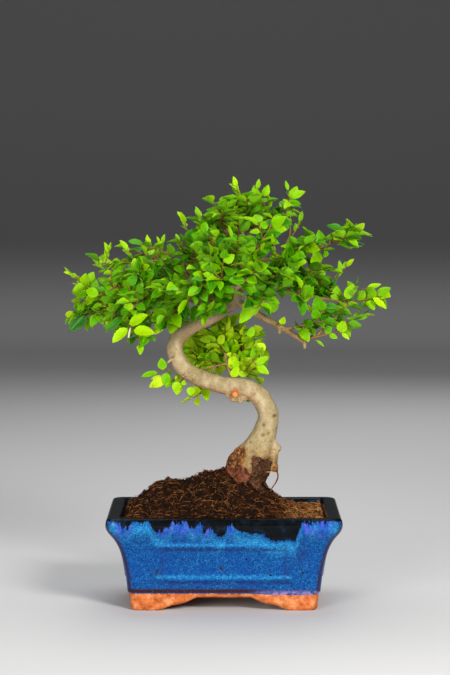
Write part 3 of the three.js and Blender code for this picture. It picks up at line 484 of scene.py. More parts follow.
# Leaves that stand out in the front view: where each starts and ends, its half-width as a share of its
# length, how yellow it is, and which way its face looks
front_leaves = [
    ((-121, -12, 253), (-134, -20, 236), 0.25, 0.0, (0.3, -1, 0.3)),
    ((-109, -30, 253), (-116, -34, 242), 0.27, 0.4, (-0.3, -1, 0.2)),
    ((-110, -30, 254), (-105, -36, 244), 0.27, 0.45, (0.3, -1, 0.2)),
    ((-87, -44, 252), (-101, -52, 238), 0.14, 0.1, (0.6, -0.5, 0.7)),
    ((-82, -48, 245), (-65, -56, 253), 0.27, 0.72, (-0.2, -1, 0.5)),
    ((-78, -48, 240), (-59, -54, 238), 0.26, 0.76, (0, -1, 0.6)),
    ((-83, -48, 242), (-95, -54, 229), 0.24, 0.74, (-0.4, -1, 0.3)),
    ((-53, -30, 248), (-59, -36, 235), 0.3, 0.78, (0.2, -1, 0.2)),
    ((-43, -16, 248), (-47, -22, 235), 0.32, 0.66, (0.1, -1, 0.2)),
    ((-24, -18, 260), (-27, -22, 245), 0.3, 0.3, (0, -1, 0.3)),
    ((-36, -18, 254), (-38, -24, 244), 0.33, 0.15, (0.2, -1, 0.2)),
    ((33, -46, 279), (16, -52, 244), 0.19, 0.62, (0.5, -1, 0.2)),
    ((-54, -6, 202), (-54, -8, 213), 0.4, 0.5, (0.1, -1, 0.1)),
    ((-58, -4, 200), (-73, -8, 197), 0.2, 0.5, (0, -1, 0.8)),
    ((-50, -8, 200), (-52, -12, 189), 0.38, 0.5, (0, -1, 0.1)),
    ((-39, -10, 192), (-44, -14, 184), 0.4, 0.68, (0, -1, 0.4)),
    ((-35, -12, 189), (-35, -14, 194), 0.4, 0.7, (0, -1, 0.4)),
    ((-29, -12, 188), (-29, -14, 180), 0.42, 0.66, (0, -1, 0.1)),
    ((11, -6, 203), (9, -10, 214), 0.3, 0.7, (0, -1, 0.3)),
    ((7, -10, 196), (12, -14, 206), 0.34, 0.78, (0.2, -1, 0.2)),
    ((28, -4, 207), (39, -6, 214), 0.27, 0.62, (0, -1, 0.3)),
    ((28, -4, 206), (40, -6, 199), 0.24, 0.66, (0.2, -1, 0.5)),
    ((22, 4, 230), (25, 2, 240), 0.36, 0.55, (0.2, -1, 0)),
    ((58, -5, 353), (71, -8, 359), 0.24, 0.62, (0, -1, 0.5)),
    ((105, -5, 326), (130, -8, 321), 0.12, 0.6, (0, -0.7, 1)),
    ((107, -5, 320), (117, -8, 310), 0.26, 0.55, (0.4, -1, 0.5)),
    ((104, -5, 325), (90, -6, 330), 0.22, 0.15, (0, -1, 0.6)),
    ((86, -8, 311), (82, -10, 325), 0.32, 0.42, (0, -1, 0.1)),
    ((130, 0, 266), (143, -4, 256), 0.2, 0.84, (0.5, -1, 0.6)),
    ((125, 0, 273), (138, -2, 277), 0.2, 0.68, (0, -1, 0.7)),
    ((107, -4, 264), (113, -6, 278), 0.32, 0.6, (0, -1, 0.1)),
    ((102, -6, 257), (88, -10, 256), 0.22, 0.6, (0, -1, 0.7)),
    ((102, -6, 235), (105, -8, 246), 0.38, 0.66, (0, -1, 0.1)),
    ((103, -6, 235), (110, -8, 229), 0.2, 0.74, (0, -1, 0.4)),
    ((89, -11, 234), (94, -13, 243), 0.3, 0.45, (0, -1, 0.2)),
    ((92, -11, 234), (99, -13, 230), 0.28, 0.5, (0, -1, 0.2)),
    ((-6, -18, 255), (-26, -18, 250), 0.26, 0.4, (0, -1, 0.5)),
    ((4, -20, 253), (-13, -20, 260), 0.25, 0.3, (0, -1, 0.4)),
    ((-36, -14, 253), (-31, -14, 243), 0.3, 0.2, (0, -1, 0.1)),
    ((-48, -18, 253), (-39, -18, 262), 0.3, 0.4, (0, -1, 0.2)),
    ((-10, -26, 270), (-21, -26, 260), 0.3, 0.3, (0, -1, 0.2)),
    ((8, -24, 270), (1, -24, 261), 0.3, 0.3, (0, -1, 0.2)),
    ((37, -44, 280), (22, -44, 274), 0.28, 0.45, (0, -1, 0.4)),
    ((-24, -30, 282), (-22, -30, 274), 0.3, 0.55, (0, -1, 0.2)),
    ((-60, -26, 252), (-55, -26, 249), 0.35, 0.45, (0, -1, 0.2)),
    ((26, -46, 308), (34, -46, 302), 0.35, 0.7, (0, -1, 0.2)),
    ((41, -42, 304), (50, -44, 302), 0.25, 0.9, (0, -1, 0.4)),
    ((51, -42, 286), (54, -44, 283), 0.4, 0.8, (0, -1, 0.2)),
    ((80, -10, 229), (88, -12, 223), 0.17, 0.6, (0.4, -0.6, 0.8)),
    ((69, -16, 262), (79, -20, 252), 0.16, 0.88, (0.4, -0.6, 0.6)),
    ((42, -20, 253), (44, -24, 267), 0.33, 0.5, (0, -1, 0.1)),
    ((50, -20, 243), (52, -24, 250), 0.38, 0.7, (0, -1, 0.2)),
    ((19.5, -3, 178), (22, -4, 173.5), 0.4, 0.45, (0, -1, 0.2)),
]
covered_branch = [(-76, -2, 294), (-56, -4, 297), (-30, -6, 295), (-12, -8, 288)]
cover_count = 26
pale_stub = [(-79, -42, 245), (-81, -50, 240), (-82, -51, 233.5)]
low_twig = [(70, -14, 228.5), (78, -13, 231), (89, -11, 233.5), (101, -7, 236)]

# Young sprigs that rise over the crown: foot and tip, and how many leaves each bears
sprigs = [
    ((-104, -4, 295), (-100, -6, 307), 5), ((-78, -8, 298), (-84, -10, 308), 4),
    ((-68, -8, 298), (-67, -8, 313), 5), ((-59, -6, 301), (-54, -8, 313), 4),
    ((-36, -6, 303), (-39, -6, 315), 4), ((-16, -10, 323), (-21, -12, 338), 5),
    ((-114, -4, 278), (-132, -6, 286), 5), ((14, -6, 349), (11, -8, 363), 5),
    ((60, -5, 340), (56, -6, 359), 3), ((86, -5, 307), (103, -6, 322), 4),
    ((45, -50, 297), (42, -56, 314), 4), ((14, -70, 308), (7, -76, 320), 4),
    ((-62, 30, 296), (-66, 36, 311), 4), ((26, 30, 345), (30, 34, 360), 4),
    ((96, 10, 282), (108, 12, 292), 4), ((-100, 32, 284), (-112, 36, 294), 4),
    ((60, 40, 318), (68, 46, 330), 4), ((-30, 50, 318), (-36, 56, 332), 4),
]


def is_within(samples, part_points):
    """True where a leaf rises no higher and reaches no further out than the part's leaves near it."""
    top = samples[samples[:, 2].argmax()]
    near = np.linalg.norm(part_points[:, :2] - top[:2], axis=1) < fill_neighbourhood
    if not near.any() or part_points[near, 2].max() < top[2] - fill_overshoot:
        return False
    if top[2] > np.interp(top[0], *zip(*crown_top)):
        return False
    low, high = part_points.min(0) - fill_overshoot, part_points.max(0) + fill_overshoot
    return bool((samples > low).all() and (samples < high).all())


def is_low_pad(tip):
    return tip[2] < low_pad_top + 6 and tip[0] > -60


def filling_of(tip):
    """How many filling twigs a spray with a given tip bears, and the sizes of their leaves."""
    if tip[2] < 200:
        return bend_twigs, small_fill_leaf
    if is_low_pad(tip):
        return low_pad_twigs, fill_leaf
    if tip[0] > 85 and tip[2] < 268:
        return sparse_twigs, fill_leaf
    if tip[0] < -70 and tip[2] < 285:
        return left_pad_twigs, small_fill_leaf
    return twigs_per_spray, fill_leaf


def cut_short(path, distance):
    """The part of a line that lies before a distance along it."""
    points, tangents, radii = path
    walked = np.concatenate([[0], np.cumsum(np.linalg.norm(np.diff(points, axis=0), axis=1))])
    kept = walked < distance - 0.3
    end, ahead, radius = along(path, distance)
    return np.vstack([points[kept], end]), np.vstack([tangents[kept], ahead]), np.append(radii[kept], radius)


def fill_spray(crown, part_centres, index, shoot, twig, wood):
    """Twigs, as lines, and leaves that stand on a spray's shoot and twig."""
    first = len(shoot[0]) // 2
    line = np.concatenate([shoot[0][first:], twig[0][1:]])
    path = sampled(line, 1.0, 0.5)
    whole = np.linalg.norm(np.diff(line, axis=0), axis=1).sum()
    tip = twig[0][-1]
    is_low = is_low_pad(tip)
    count, sizes = filling_of(tip)
    centre = low_pad_centre if is_low else canopy_centre
    near = np.linalg.norm(wood[0] - line[-1], axis=1) < near_reach + fill_wood_spare
    wood_points, wood_radii = wood[0][near], wood[1][near]
    made, leaves = [], []
    part_points = np.concatenate(crown.samples[:len(part_centres)])
    for number in range(count):
        serial = 100 + 40 * number
        point, tangent, _ = along(path, whole * (number + 0.2 + 0.6 * draw(index, serial, 0)) / count)
        outwards = unit(point - centre)
        random = np.array([draw(index, serial, axis) - 0.5 for axis in (1, 2, 3)])
        side = unit(random - tangent * random.dot(tangent))
        heading = unit(side + tangent * 0.55 + up * 0.2 + outwards * 0.3)
        length = fill_length[0] + (fill_length[1] - fill_length[0]) * draw(index, serial, 4)
        bend = np.array([draw(index, serial, axis) - 0.5 for axis in (5, 6, 7)]) * 0.5 + up * 0.12
        t = np.linspace(0, 1, 9)[:, None]
        branchlet = sampled(point + heading * length * t + bend * length * t * t, *fill_radii)
        face = spray_face(branchlet[0][4], index * 7 + number)
        kept, furthest = [], 0
        for step, distance in enumerate([*np.arange(fill_first, length - 1, fill_spacing), length]):
            side_sign = 0 if distance == length else 1 - 2 * ((step + number) % 2)
            for attempt in range(fill_tries):
                leaf = leaf_at(along(branchlet, distance), face, side_sign, index, serial + 1 + step, attempt,
                               sizes, 0.27 + 0.07 * draw(index, serial, 12 + step))
                samples = leaf.at(*wide_grid)
                middle = leaf.at(np.array([0.5]), np.array([0.0]))[0]
                if (np.linalg.norm(part_centres - middle, axis=1).min() > fill_reach
                        or is_low and middle[0] > low_pad_right or not is_within(samples, part_points)):
                    continue
                if not is_clear(samples, 0, wood_points, wood_radii, fill_wood_clearance):
                    continue
                if not crown.is_free(leaf, samples, fill_clearance, 2):
                    continue
                crown.add(leaf, samples)
                kept.append(leaf)
                furthest = distance
                break
        if kept:
            made.append(cut_short(branchlet, furthest))
            leaves += kept
    return made, leaves


# Meshes


class Parts:
    """Closed parts that become one mesh, with a colour value at each point and a material for each face."""

    def __init__(self):
        self.points, self.values, self.faces, self.kinds, self.sharp = [], [], [], [], []
        self.count = 0

    def add(self, points, faces, values=(0, 0, 0, 0), kind=0, sharp=()):
        self.points.append(points)
        self.values.append(np.broadcast_to(np.asarray(values, float), (len(points), 4)))
        self.faces += [tuple(corner + self.count for corner in face) for face in faces]
        self.kinds += [kind] * len(faces)
        self.sharp += [(a + self.count, b + self.count) for a, b in sharp]
        self.count += len(points)


def make_mesh(name, points, faces):
    mesh = bpy.data.meshes.new(name)
    mesh.from_pydata((np.asarray(points) / MM + origin).tolist(), [], faces)
    return mesh


def mesh_vectors(mesh, name):
    """Three numbers at each of a mesh's points: its place in metres, co, or its normal."""
    flat = np.zeros(len(mesh.vertices) * 3)
    mesh.vertices.foreach_get(name, flat)
    return flat.reshape(-1, 3)


def set_values(mesh, name, values):
    made = mesh.color_attributes.new(name, "FLOAT_COLOR", "POINT")
    made.data.foreach_set("color", np.asarray(values, np.float32).ravel())


def set_sharp(mesh, pairs):
    """Marks edges, given as pairs of points, as creases in the shading."""
    wanted = {(min(pair), max(pair)) for pair in pairs}
    ends = np.zeros(len(mesh.edges) * 2, np.int32)
    mesh.edges.foreach_get("vertices", ends)
    flags = [(min(a, b), max(a, b)) in wanted for a, b in ends.reshape(-1, 2).tolist()]
    mesh.edges.foreach_set("use_edge_sharp", flags)


def show(name, data):
    """An object of the scene that shows given data."""
    made = bpy.data.objects.new(name, data)
    bpy.context.scene.collection.objects.link(made)
    return made


def make_piece(name, mesh, materials, replaced=()):
    piece = show(name, mesh)
    mesh.shade_smooth()
    for material in materials:
        mesh.materials.append(material)
    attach(piece, "root")
    if replaced:
        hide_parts(*replaced)
    return piece


def piece_of(name, parts, materials, attribute, replaced=()):
    mesh = make_mesh(name, np.concatenate(parts.points), parts.faces)
    set_values(mesh, attribute, np.concatenate(parts.values))
    if parts.sharp:
        mesh.shade_smooth()
        set_sharp(mesh, parts.sharp)
    piece = make_piece(name, mesh, materials, replaced)
    mesh.polygons.foreach_set("material_index", parts.kinds)
    return piece


def ring_faces(rings, sides, closed_ends=True):
    """Faces that join rings of points, each with as many sides, and close both ends."""
    faces = [(level * sides + side, level * sides + (side + 1) % sides,
              (level + 1) * sides + (side + 1) % sides, (level + 1) * sides + side)
             for level in range(rings - 1) for side in range(sides)]
    if closed_ends:
        faces.append(tuple(range(sides))[::-1])
        faces.append(tuple(range((rings - 1) * sides, rings * sides)))
    return faces


def tube(points, tangents, radii, sides, lobes=None):
    """A closed round tube, its rings turned as little as possible from one to the next."""
    normal = np.array([1.0, 0, 0]) - tangents[0] * tangents[0][0]
    if normal.dot(normal) < 0.1:
        normal = np.array([0, 1.0, 0]) - tangents[0] * tangents[0][1]
    angles = np.arange(sides) / sides * 2 * math.pi
    rings = []
    for point, tangent, radius in zip(points, tangents, radii):
        normal = unit(normal - tangent * normal.dot(tangent))
        across = np.cross(tangent, normal)
        swell = radius * (lobes(angles, point[2]) if lobes else np.ones(sides))
        outwards = np.outer(np.cos(angles), normal) + np.outer(np.sin(angles), across)
        rings.append(point + swell[:, None] * outwards)
    return np.concatenate(rings), ring_faces(len(rings), sides)


# How many sides the tubes of the wood, the twigs and the litter have
trunk_sides, limb_sides, root_sides, shoot_sides = 28, 10, 12, 7
twig_sides, small_twig_sides, stalk_sides, fibre_sides = 7, 5, 6, 3

# A fine blade: rings of eight points round a thin closed leaf, and one point at its tip
blade_rows = np.array([0, 0.05, 0.11, 0.18, 0.26, 0.35, 0.44, 0.53, 0.62, 0.71, 0.8, 0.88, 0.95])
blade_columns = np.array([-1, -0.5, 0, 0.5, 1, 0.5, 0, -0.5])
blade_faces_up = np.array([0, 1, 1, 1, 0, -1, -1, -1])
leaf_edges = (0, 4)  # the points of a ring that stand at the leaf's edges
blade_thickness = 0.42
tooth = 0.05
stalk_width = 0.085


def fine_outline(u):
    blade = np.sin(math.pi * np.clip((u - 0.04) / 0.96, 0, 1) ** 0.78) ** 0.8
    return np.maximum(blade, stalk_width * (1 - u))


def add_leaf(parts, leaf):
    """Adds a fine leaf: serrated, folded along its midrib, drooping, and a little waved and twisted."""
    random = [draw(leaf.serial, purpose, 77) for purpose in range(6)]
    u, v = np.meshgrid(blade_rows, blade_columns, indexing="ij")
    facing = np.broadcast_to(blade_faces_up, u.shape)
    teeth = 1 + tooth * (-1.0) ** np.arange(len(blade_rows))[:, None] * (np.abs(v) > 0.9) * (u > 0.12)
    width = leaf.half_width * (1.04 + 0.24 * random[3]) * fine_outline(u) * teeth
    waves = 0.1 * np.sin(2 * math.pi * (1.3 * u + random[0])) * np.sign(v) * v * v
    lift = leaf.fold * (0.35 * np.abs(v) + 0.65 * v * v) * width + waves * width
    lift = lift - leaf.droop * u * u * leaf.length
    lift = lift + facing * blade_thickness / 2 * np.sqrt(np.clip(1 - v * v, 0, 1)) * (1 - 0.5 * u)
    lift = lift - (facing < 0) * (np.abs(v) < 0.1) * 0.16 * (1 - u)
    side_bend = (random[1] - 0.5) * 0.16 * u * u * leaf.length
    twist = (random[2] - 0.5) * 0.9 * u
    turned_across = -v * width * np.cos(twist) - lift * np.sin(twist) * 0.3 + side_bend
    turned_height = lift - v * width * np.sin(twist) * 0.5
    shape = (leaf.base + (u * leaf.length)[..., None] * leaf.axis + turned_across[..., None] * leaf.left
             + turned_height[..., None] * leaf.normal)
    tip = (leaf.base + leaf.axis * leaf.length + leaf.left * (random[1] - 0.5) * 0.16 * leaf.length
           - leaf.normal * leaf.droop * leaf.length)
    points = np.vstack([shape.reshape(-1, 3), tip])
    sides, rings = len(blade_columns), len(blade_rows)
    faces = ring_faces(rings, sides, closed_ends=False)
    faces.append(tuple(range(sides))[::-1])
    last = (rings - 1) * sides
    faces += [(last + side, last + (side + 1) % sides, len(points) - 1) for side in range(sides)]
    values = np.stack([u, v / 2 + 0.5, np.full(u.shape, leaf.tone), (1 - facing) / 2], axis=-1).reshape(-1, 4)
    values = np.vstack([values, [1, 0.5, leaf.tone, 0.5]])
    sharp = [(ring * sides + edge, (ring + 1) * sides + edge)
             for ring in range(1, rings - 1) for edge in leaf_edges]
    parts.add(points, faces, values, kind=0, sharp=sharp)


def add_twig(parts, line, sides, shares, is_bark=1):
    """Adds a twig, with how young its wood is along it. Where it isn't bark, it is pale."""
    rings, faces = tube(*line, sides)
    share = np.repeat(np.broadcast_to(shares, len(line[0])), sides)
    parts.add(rings, faces, np.stack([share, share, share, np.full(len(share), is_bark)], axis=1), kind=1)


# Materials


def linear(colour):
    """A colour as it looks on a screen, 0 to 255, in the four linear numbers that shaders take."""
    return [((c / 255 + 0.055) / 1.055) ** 2.4 if c > 10 else c / 255 / 12.92 for c in colour] + [1.0]


class Shader:
    """A material with one Principled shader, and short ways to make its nodes.

    Its colours are tuples, each number 0 to 255.
    """

    def __init__(self, name, roughness=0.5, **sockets):
        self.material = bpy.data.materials.new(name)
        self.material.use_nodes = True
        self.tree = self.material.node_tree
        self.shader = self.tree.nodes["Principled BSDF"]
        self.shader.inputs["Roughness"].default_value = roughness
        for socket, value in sockets.items():
            self.shader.inputs[socket.replace("_", " ")].default_value = value
        self.place = self.node("ShaderNodeTexCoord").outputs["Object"]

    def node(self, kind, **settings):
        made = self.tree.nodes.new(kind)
        for key, value in settings.items():
            setattr(made, key, value)
        return made

    def plug(self, socket, value):
        if isinstance(value, bpy.types.NodeSocket):
            self.tree.links.new(value, socket)
        else:
            socket.default_value = value

    def math(self, operation, a, b=0.0, clamp=False):
        made = self.node("ShaderNodeMath", operation=operation, use_clamp=clamp)
        self.plug(made.inputs[0], a)
        self.plug(made.inputs[1], b)
        return made.outputs[0]

    def add(self, a, b, clamp=False):
        return self.math("ADD", a, b, clamp)

    def sub(self, a, b):
        return self.math("SUBTRACT", a, b)

    def mul(self, a, b):
        return self.math("MULTIPLY", a, b)

    def less(self, value):
        """1 less a value."""
        return self.sub(1.0, value)

    def swing(self, value, amount):
        """A value about 0.5 as one about 0, times an amount."""
        return self.mul(self.sub(value, 0.5), amount)

    def between(self, value, low, high):
        """0 below low, 1 above high and a smooth rise between them."""
        made = self.node("ShaderNodeMapRange", interpolation_type="SMOOTHSTEP")
        self.plug(made.inputs["Value"], value)
        self.plug(made.inputs["From Min"], low)
        self.plug(made.inputs["From Max"], high)
        return made.outputs["Result"]

    def noise(self, size, detail=3.0, roughness=0.55, stretch=(1, 1, 1), seed=0.0):
        """Noise about 0.5, its grain about a given size in millimetres."""
        scaled = self.node("ShaderNodeMapping")
        self.plug(scaled.inputs["Vector"], self.place)
        scaled.inputs["Scale"].default_value = [MM / size / along for along in stretch]
        scaled.inputs["Location"].default_value = (seed, seed * 1.7, seed * 0.6)
        made = self.node("ShaderNodeTexNoise")
        self.plug(made.inputs["Vector"], scaled.outputs["Vector"])
        made.inputs["Scale"].default_value = 1.0
        made.inputs["Detail"].default_value = detail
        made.inputs["Roughness"].default_value = roughness
        return made.outputs["Fac"]

    def split(self, colour):
        made = self.node("ShaderNodeSeparateColor")
        self.plug(made.inputs["Color"], colour)
        return made.outputs[:3]

    def cells(self, size):
        """Cells of about a given size: the distance from a cell's point, and its random number."""
        made = self.node("ShaderNodeTexVoronoi")
        self.plug(made.inputs["Vector"], self.place)
        made.inputs["Scale"].default_value = MM / size
        return made.outputs["Distance"], self.split(made.outputs["Color"])[0]

    def attribute(self, name):
        """The four numbers of a colour attribute."""
        made = self.node("ShaderNodeAttribute", attribute_name=name)
        return *self.split(made.outputs["Color"]), made.outputs["Alpha"]

    def height(self):
        """Height above the pot's foot, in millimetres."""
        split = self.node("ShaderNodeSeparateXYZ")
        self.plug(split.inputs[0], self.place)
        return self.mul(self.sub(split.outputs["Z"], float(origin[2])), MM)

    def blend(self, share, a, b):
        """A colour that goes from a, where the share is 0, to b, where it is 1."""
        made = self.node("ShaderNodeMix", data_type="RGBA")
        self.plug(made.inputs["Factor"], share)
        for socket, value in ((made.inputs[6], a), (made.inputs[7], b)):
            self.plug(socket, linear(value) if isinstance(value, tuple) else value)
        return made.outputs[2]

    def ramp(self, value, *stops):
        """A colour by a value, from stops, each a value and its colour."""
        made = self.node("ShaderNodeValToRGB")
        self.plug(made.inputs["Fac"], value)
        elements = made.color_ramp.elements
        for index, (place, colour) in enumerate(stops):
            element = elements[index] if index < 2 else elements.new(place)
            element.position = place
            element.color = linear(colour)
        return made.outputs["Color"]

    def bump(self, height, distance):
        """Fine relief: a height from 0 to 1, and what 1 comes to in millimetres."""
        made = self.node("ShaderNodeBump")
        made.inputs["Strength"].default_value = 1.0
        made.inputs["Distance"].default_value = distance / MM
        self.plug(made.inputs["Height"], height)
        self.plug(self.shader.inputs["Normal"], made.outputs["Normal"])

    def finish(self, colour, roughness=None):
        self.plug(self.shader.inputs["Base Color"], colour)
        if roughness is not None:
            self.plug(self.shader.inputs["Roughness"], roughness)
        return self.material


def leaf_material():
    s = Shader("leaf_green", roughness=0.45, Subsurface_Weight=0.1, Subsurface_Scale=0.0025,
               Specular_IOR_Level=0.08)
    s.shader.inputs["Subsurface Radius"].default_value = (0.5, 1.0, 0.12)
    u, v, tone, under = s.attribute("blade")
    across = s.mul(s.math("ABSOLUTE", s.sub(v, 0.5)), 2.0)
    patches = s.noise(4.0, 3)
    varied = s.add(tone, s.swing(patches, 0.22))
    varied = s.add(varied, s.mul(s.sub(across, 0.4), 0.1), clamp=True)
    green = s.ramp(varied, (0.0, (8, 78, 24)), (0.16, (28, 104, 2)), (0.4, (72, 142, 0)),
                   (0.6, (112, 168, 0)), (0.8, (146, 188, 4)), (1.0, (182, 212, 26)))
    pale = s.blend(0.4, green, (168, 190, 14))
    midrib = s.less(s.between(across, 0.03, 0.11))
    slant = s.add(s.mul(u, 8.5), s.mul(across, -2.3))
    wave = s.math("ABSOLUTE", s.sub(s.math("FRACT", slant), 0.5))
    side_vein = s.mul(s.less(s.between(wave, 0.03, 0.13)), 0.45)
    side_vein = s.mul(side_vein, s.less(s.between(across, 0.6, 0.95)))
    veins = s.math("MAXIMUM", midrib, side_vein)
    colour = s.blend(s.mul(veins, 0.55), green, pale)
    below = s.blend(0.3, colour, (118, 162, 34))
    colour = s.blend(under, colour, below)
    stalk = s.less(s.between(u, 0.02, 0.09))
    colour = s.blend(s.mul(stalk, 0.8), colour, (132, 104, 30))
    relief = s.sub(s.mul(s.noise(1.1, 2), 0.4), s.mul(veins, 0.6))
    s.bump(relief, 0.16)
    rough = s.add(s.mul(under, 0.2), s.mul(s.noise(2.0, 2), 0.16))
    return s.finish(colour, s.add(rough, 0.3))


def twig_material():
    s = Shader("twig_bark", roughness=0.6, Specular_IOR_Level=0.15)
    share, _, _, solid = s.attribute("blade")
    young = s.blend(s.noise(1.6, 3), (82, 50, 26), (136, 94, 56))
    tip = s.blend(s.noise(2.2, 2), (122, 78, 28), (134, 120, 38))
    s.bump(s.noise(0.7, 2), 0.1)
    return s.finish(s.blend(solid, (186, 178, 156), s.blend(share, young, tip)))


def bark_material():
    s = Shader("bark", roughness=0.7, Specular_IOR_Level=0.22)
    age, dark, below, scar = s.attribute("bark")
    patches = s.noise(7.0, 4, 0.6, stretch=(1, 1, 1.4))
    fine = s.noise(1.3, 4, 0.65, stretch=(1.6, 1.6, 0.8))
    mix = s.add(s.mul(patches, 0.65), s.mul(fine, 0.35))
    old = s.ramp(mix, (0.24, (108, 91, 62)), (0.4, (134, 117, 83)), (0.52, (154, 137, 103)),
                 (0.68, (176, 160, 129)))
    young = s.ramp(mix, (0.3, (80, 64, 36)), (0.5, (118, 98, 60)), (0.7, (156, 136, 94)))
    marked = s.ramp(mix, (0.35, (58, 44, 18)), (0.65, (96, 74, 36)))
    grown = s.blend(s.between(age, 0.4, 0.95), young, old)
    colour = s.blend(s.between(age, 0.1, 0.34), marked, grown)
    moss = s.between(s.noise(9.0, 3, seed=6.0), 0.48, 0.66)
    colour = s.blend(s.mul(moss, 0.34), colour, (126, 116, 62))
    pink = s.blend(0.5, colour, (178, 112, 76))
    colour = s.blend(s.mul(below, 0.6), colour, pink)
    ragged = s.noise(3.2, 4, 0.6)
    worn = s.add(dark, s.swing(ragged, 0.5))
    tan = s.ramp(mix, (0.3, (84, 62, 28)), (0.5, (124, 96, 52)), (0.7, (164, 136, 88)))
    colour = s.blend(s.mul(s.between(worn, 0.05, 0.25), 0.8), colour, tan)
    flakes = s.noise(2.6, 4, 0.6, seed=9.0)
    orange = s.ramp(flakes, (0.36, (34, 19, 6)), (0.45, (80, 46, 16)), (0.55, (116, 70, 28)),
                    (0.68, (166, 114, 62)))
    colour = s.blend(s.between(worn, 0.3, 0.46), colour, orange)
    red = s.ramp(flakes, (0.34, (34, 15, 6)), (0.48, (74, 34, 15)), (0.62, (118, 62, 30)))
    colour = s.blend(s.between(worn, 0.58, 0.72), colour, red)
    fibres = s.noise(1.5, 4, 0.7, stretch=(1.8, 1.8, 0.6), seed=7.0)
    peat = s.ramp(fibres, (0.36, (14, 7, 3)), (0.5, (48, 26, 12)), (0.66, (122, 74, 38)))
    colour = s.blend(s.less(s.between(age, -0.75, -0.25)), colour, peat)
    cut = s.ramp(scar, (0.3, (156, 104, 62)), (0.7, (150, 86, 50)), (0.9, (200, 126, 62)))
    cut = s.blend(s.between(fine, 0.35, 0.55), s.blend(0.25, cut, (96, 50, 24)), cut)
    colour = s.blend(s.between(scar, 0.1, 0.45), colour, cut)
    from_pore, chance = s.cells(3.4)
    pores = s.mul(s.less(s.between(from_pore, 0.1, 0.3)), s.between(chance, 0.45, 0.6))
    colour = s.blend(s.mul(pores, 0.35), colour, (84, 64, 36))
    relief = s.sub(s.add(fine, s.mul(patches, 0.8)), s.mul(pores, 0.5))
    s.bump(relief, 0.32)
    return s.finish(colour)


def soil_material():
    s = Shader("peat", roughness=0.95, Specular_IOR_Level=0.08)
    tan, dark, _, _ = s.attribute("earth")
    coarse = s.noise(5.0, 4, 0.65)
    fine = s.noise(0.9, 4, 0.7)
    mix = s.add(s.mul(coarse, 0.45), s.mul(fine, 0.55))
    peat = s.ramp(mix, (0.34, (8, 4, 2)), (0.46, (20, 10, 5)), (0.55, (38, 20, 9)),
                  (0.68, (76, 43, 21)))
    straw = s.ramp(mix, (0.3, (74, 34, 11)), (0.5, (142, 78, 33)), (0.7, (210, 150, 88)))
    colour = s.blend(s.between(tan, 0, 1), peat, straw)
    colour = s.blend(s.between(tan, 0.9, 1.25), colour, (210, 160, 100))
    colour = s.blend(s.mul(dark, 0.75), colour, (16, 9, 5))
    s.bump(s.add(fine, coarse), 0.9)
    return s.finish(colour)


# Small flaws in the front's glaze: x, height, radius, and whether it is brown or black
glaze_flaws = [(-57.2, 32.5, 2.4, 0), (-2.4, 35.2, 1.7, 0), (-35.5, 43.6, 1.0, 0), (19.3, 43.4, 1.1, 1),
               (40.0, 29.2, 1.4, 1), (68.0, 31.2, 1.2, 1), (60.7, 16.9, 0.9, 1), (2.5, 33.2, 0.7, 0)]


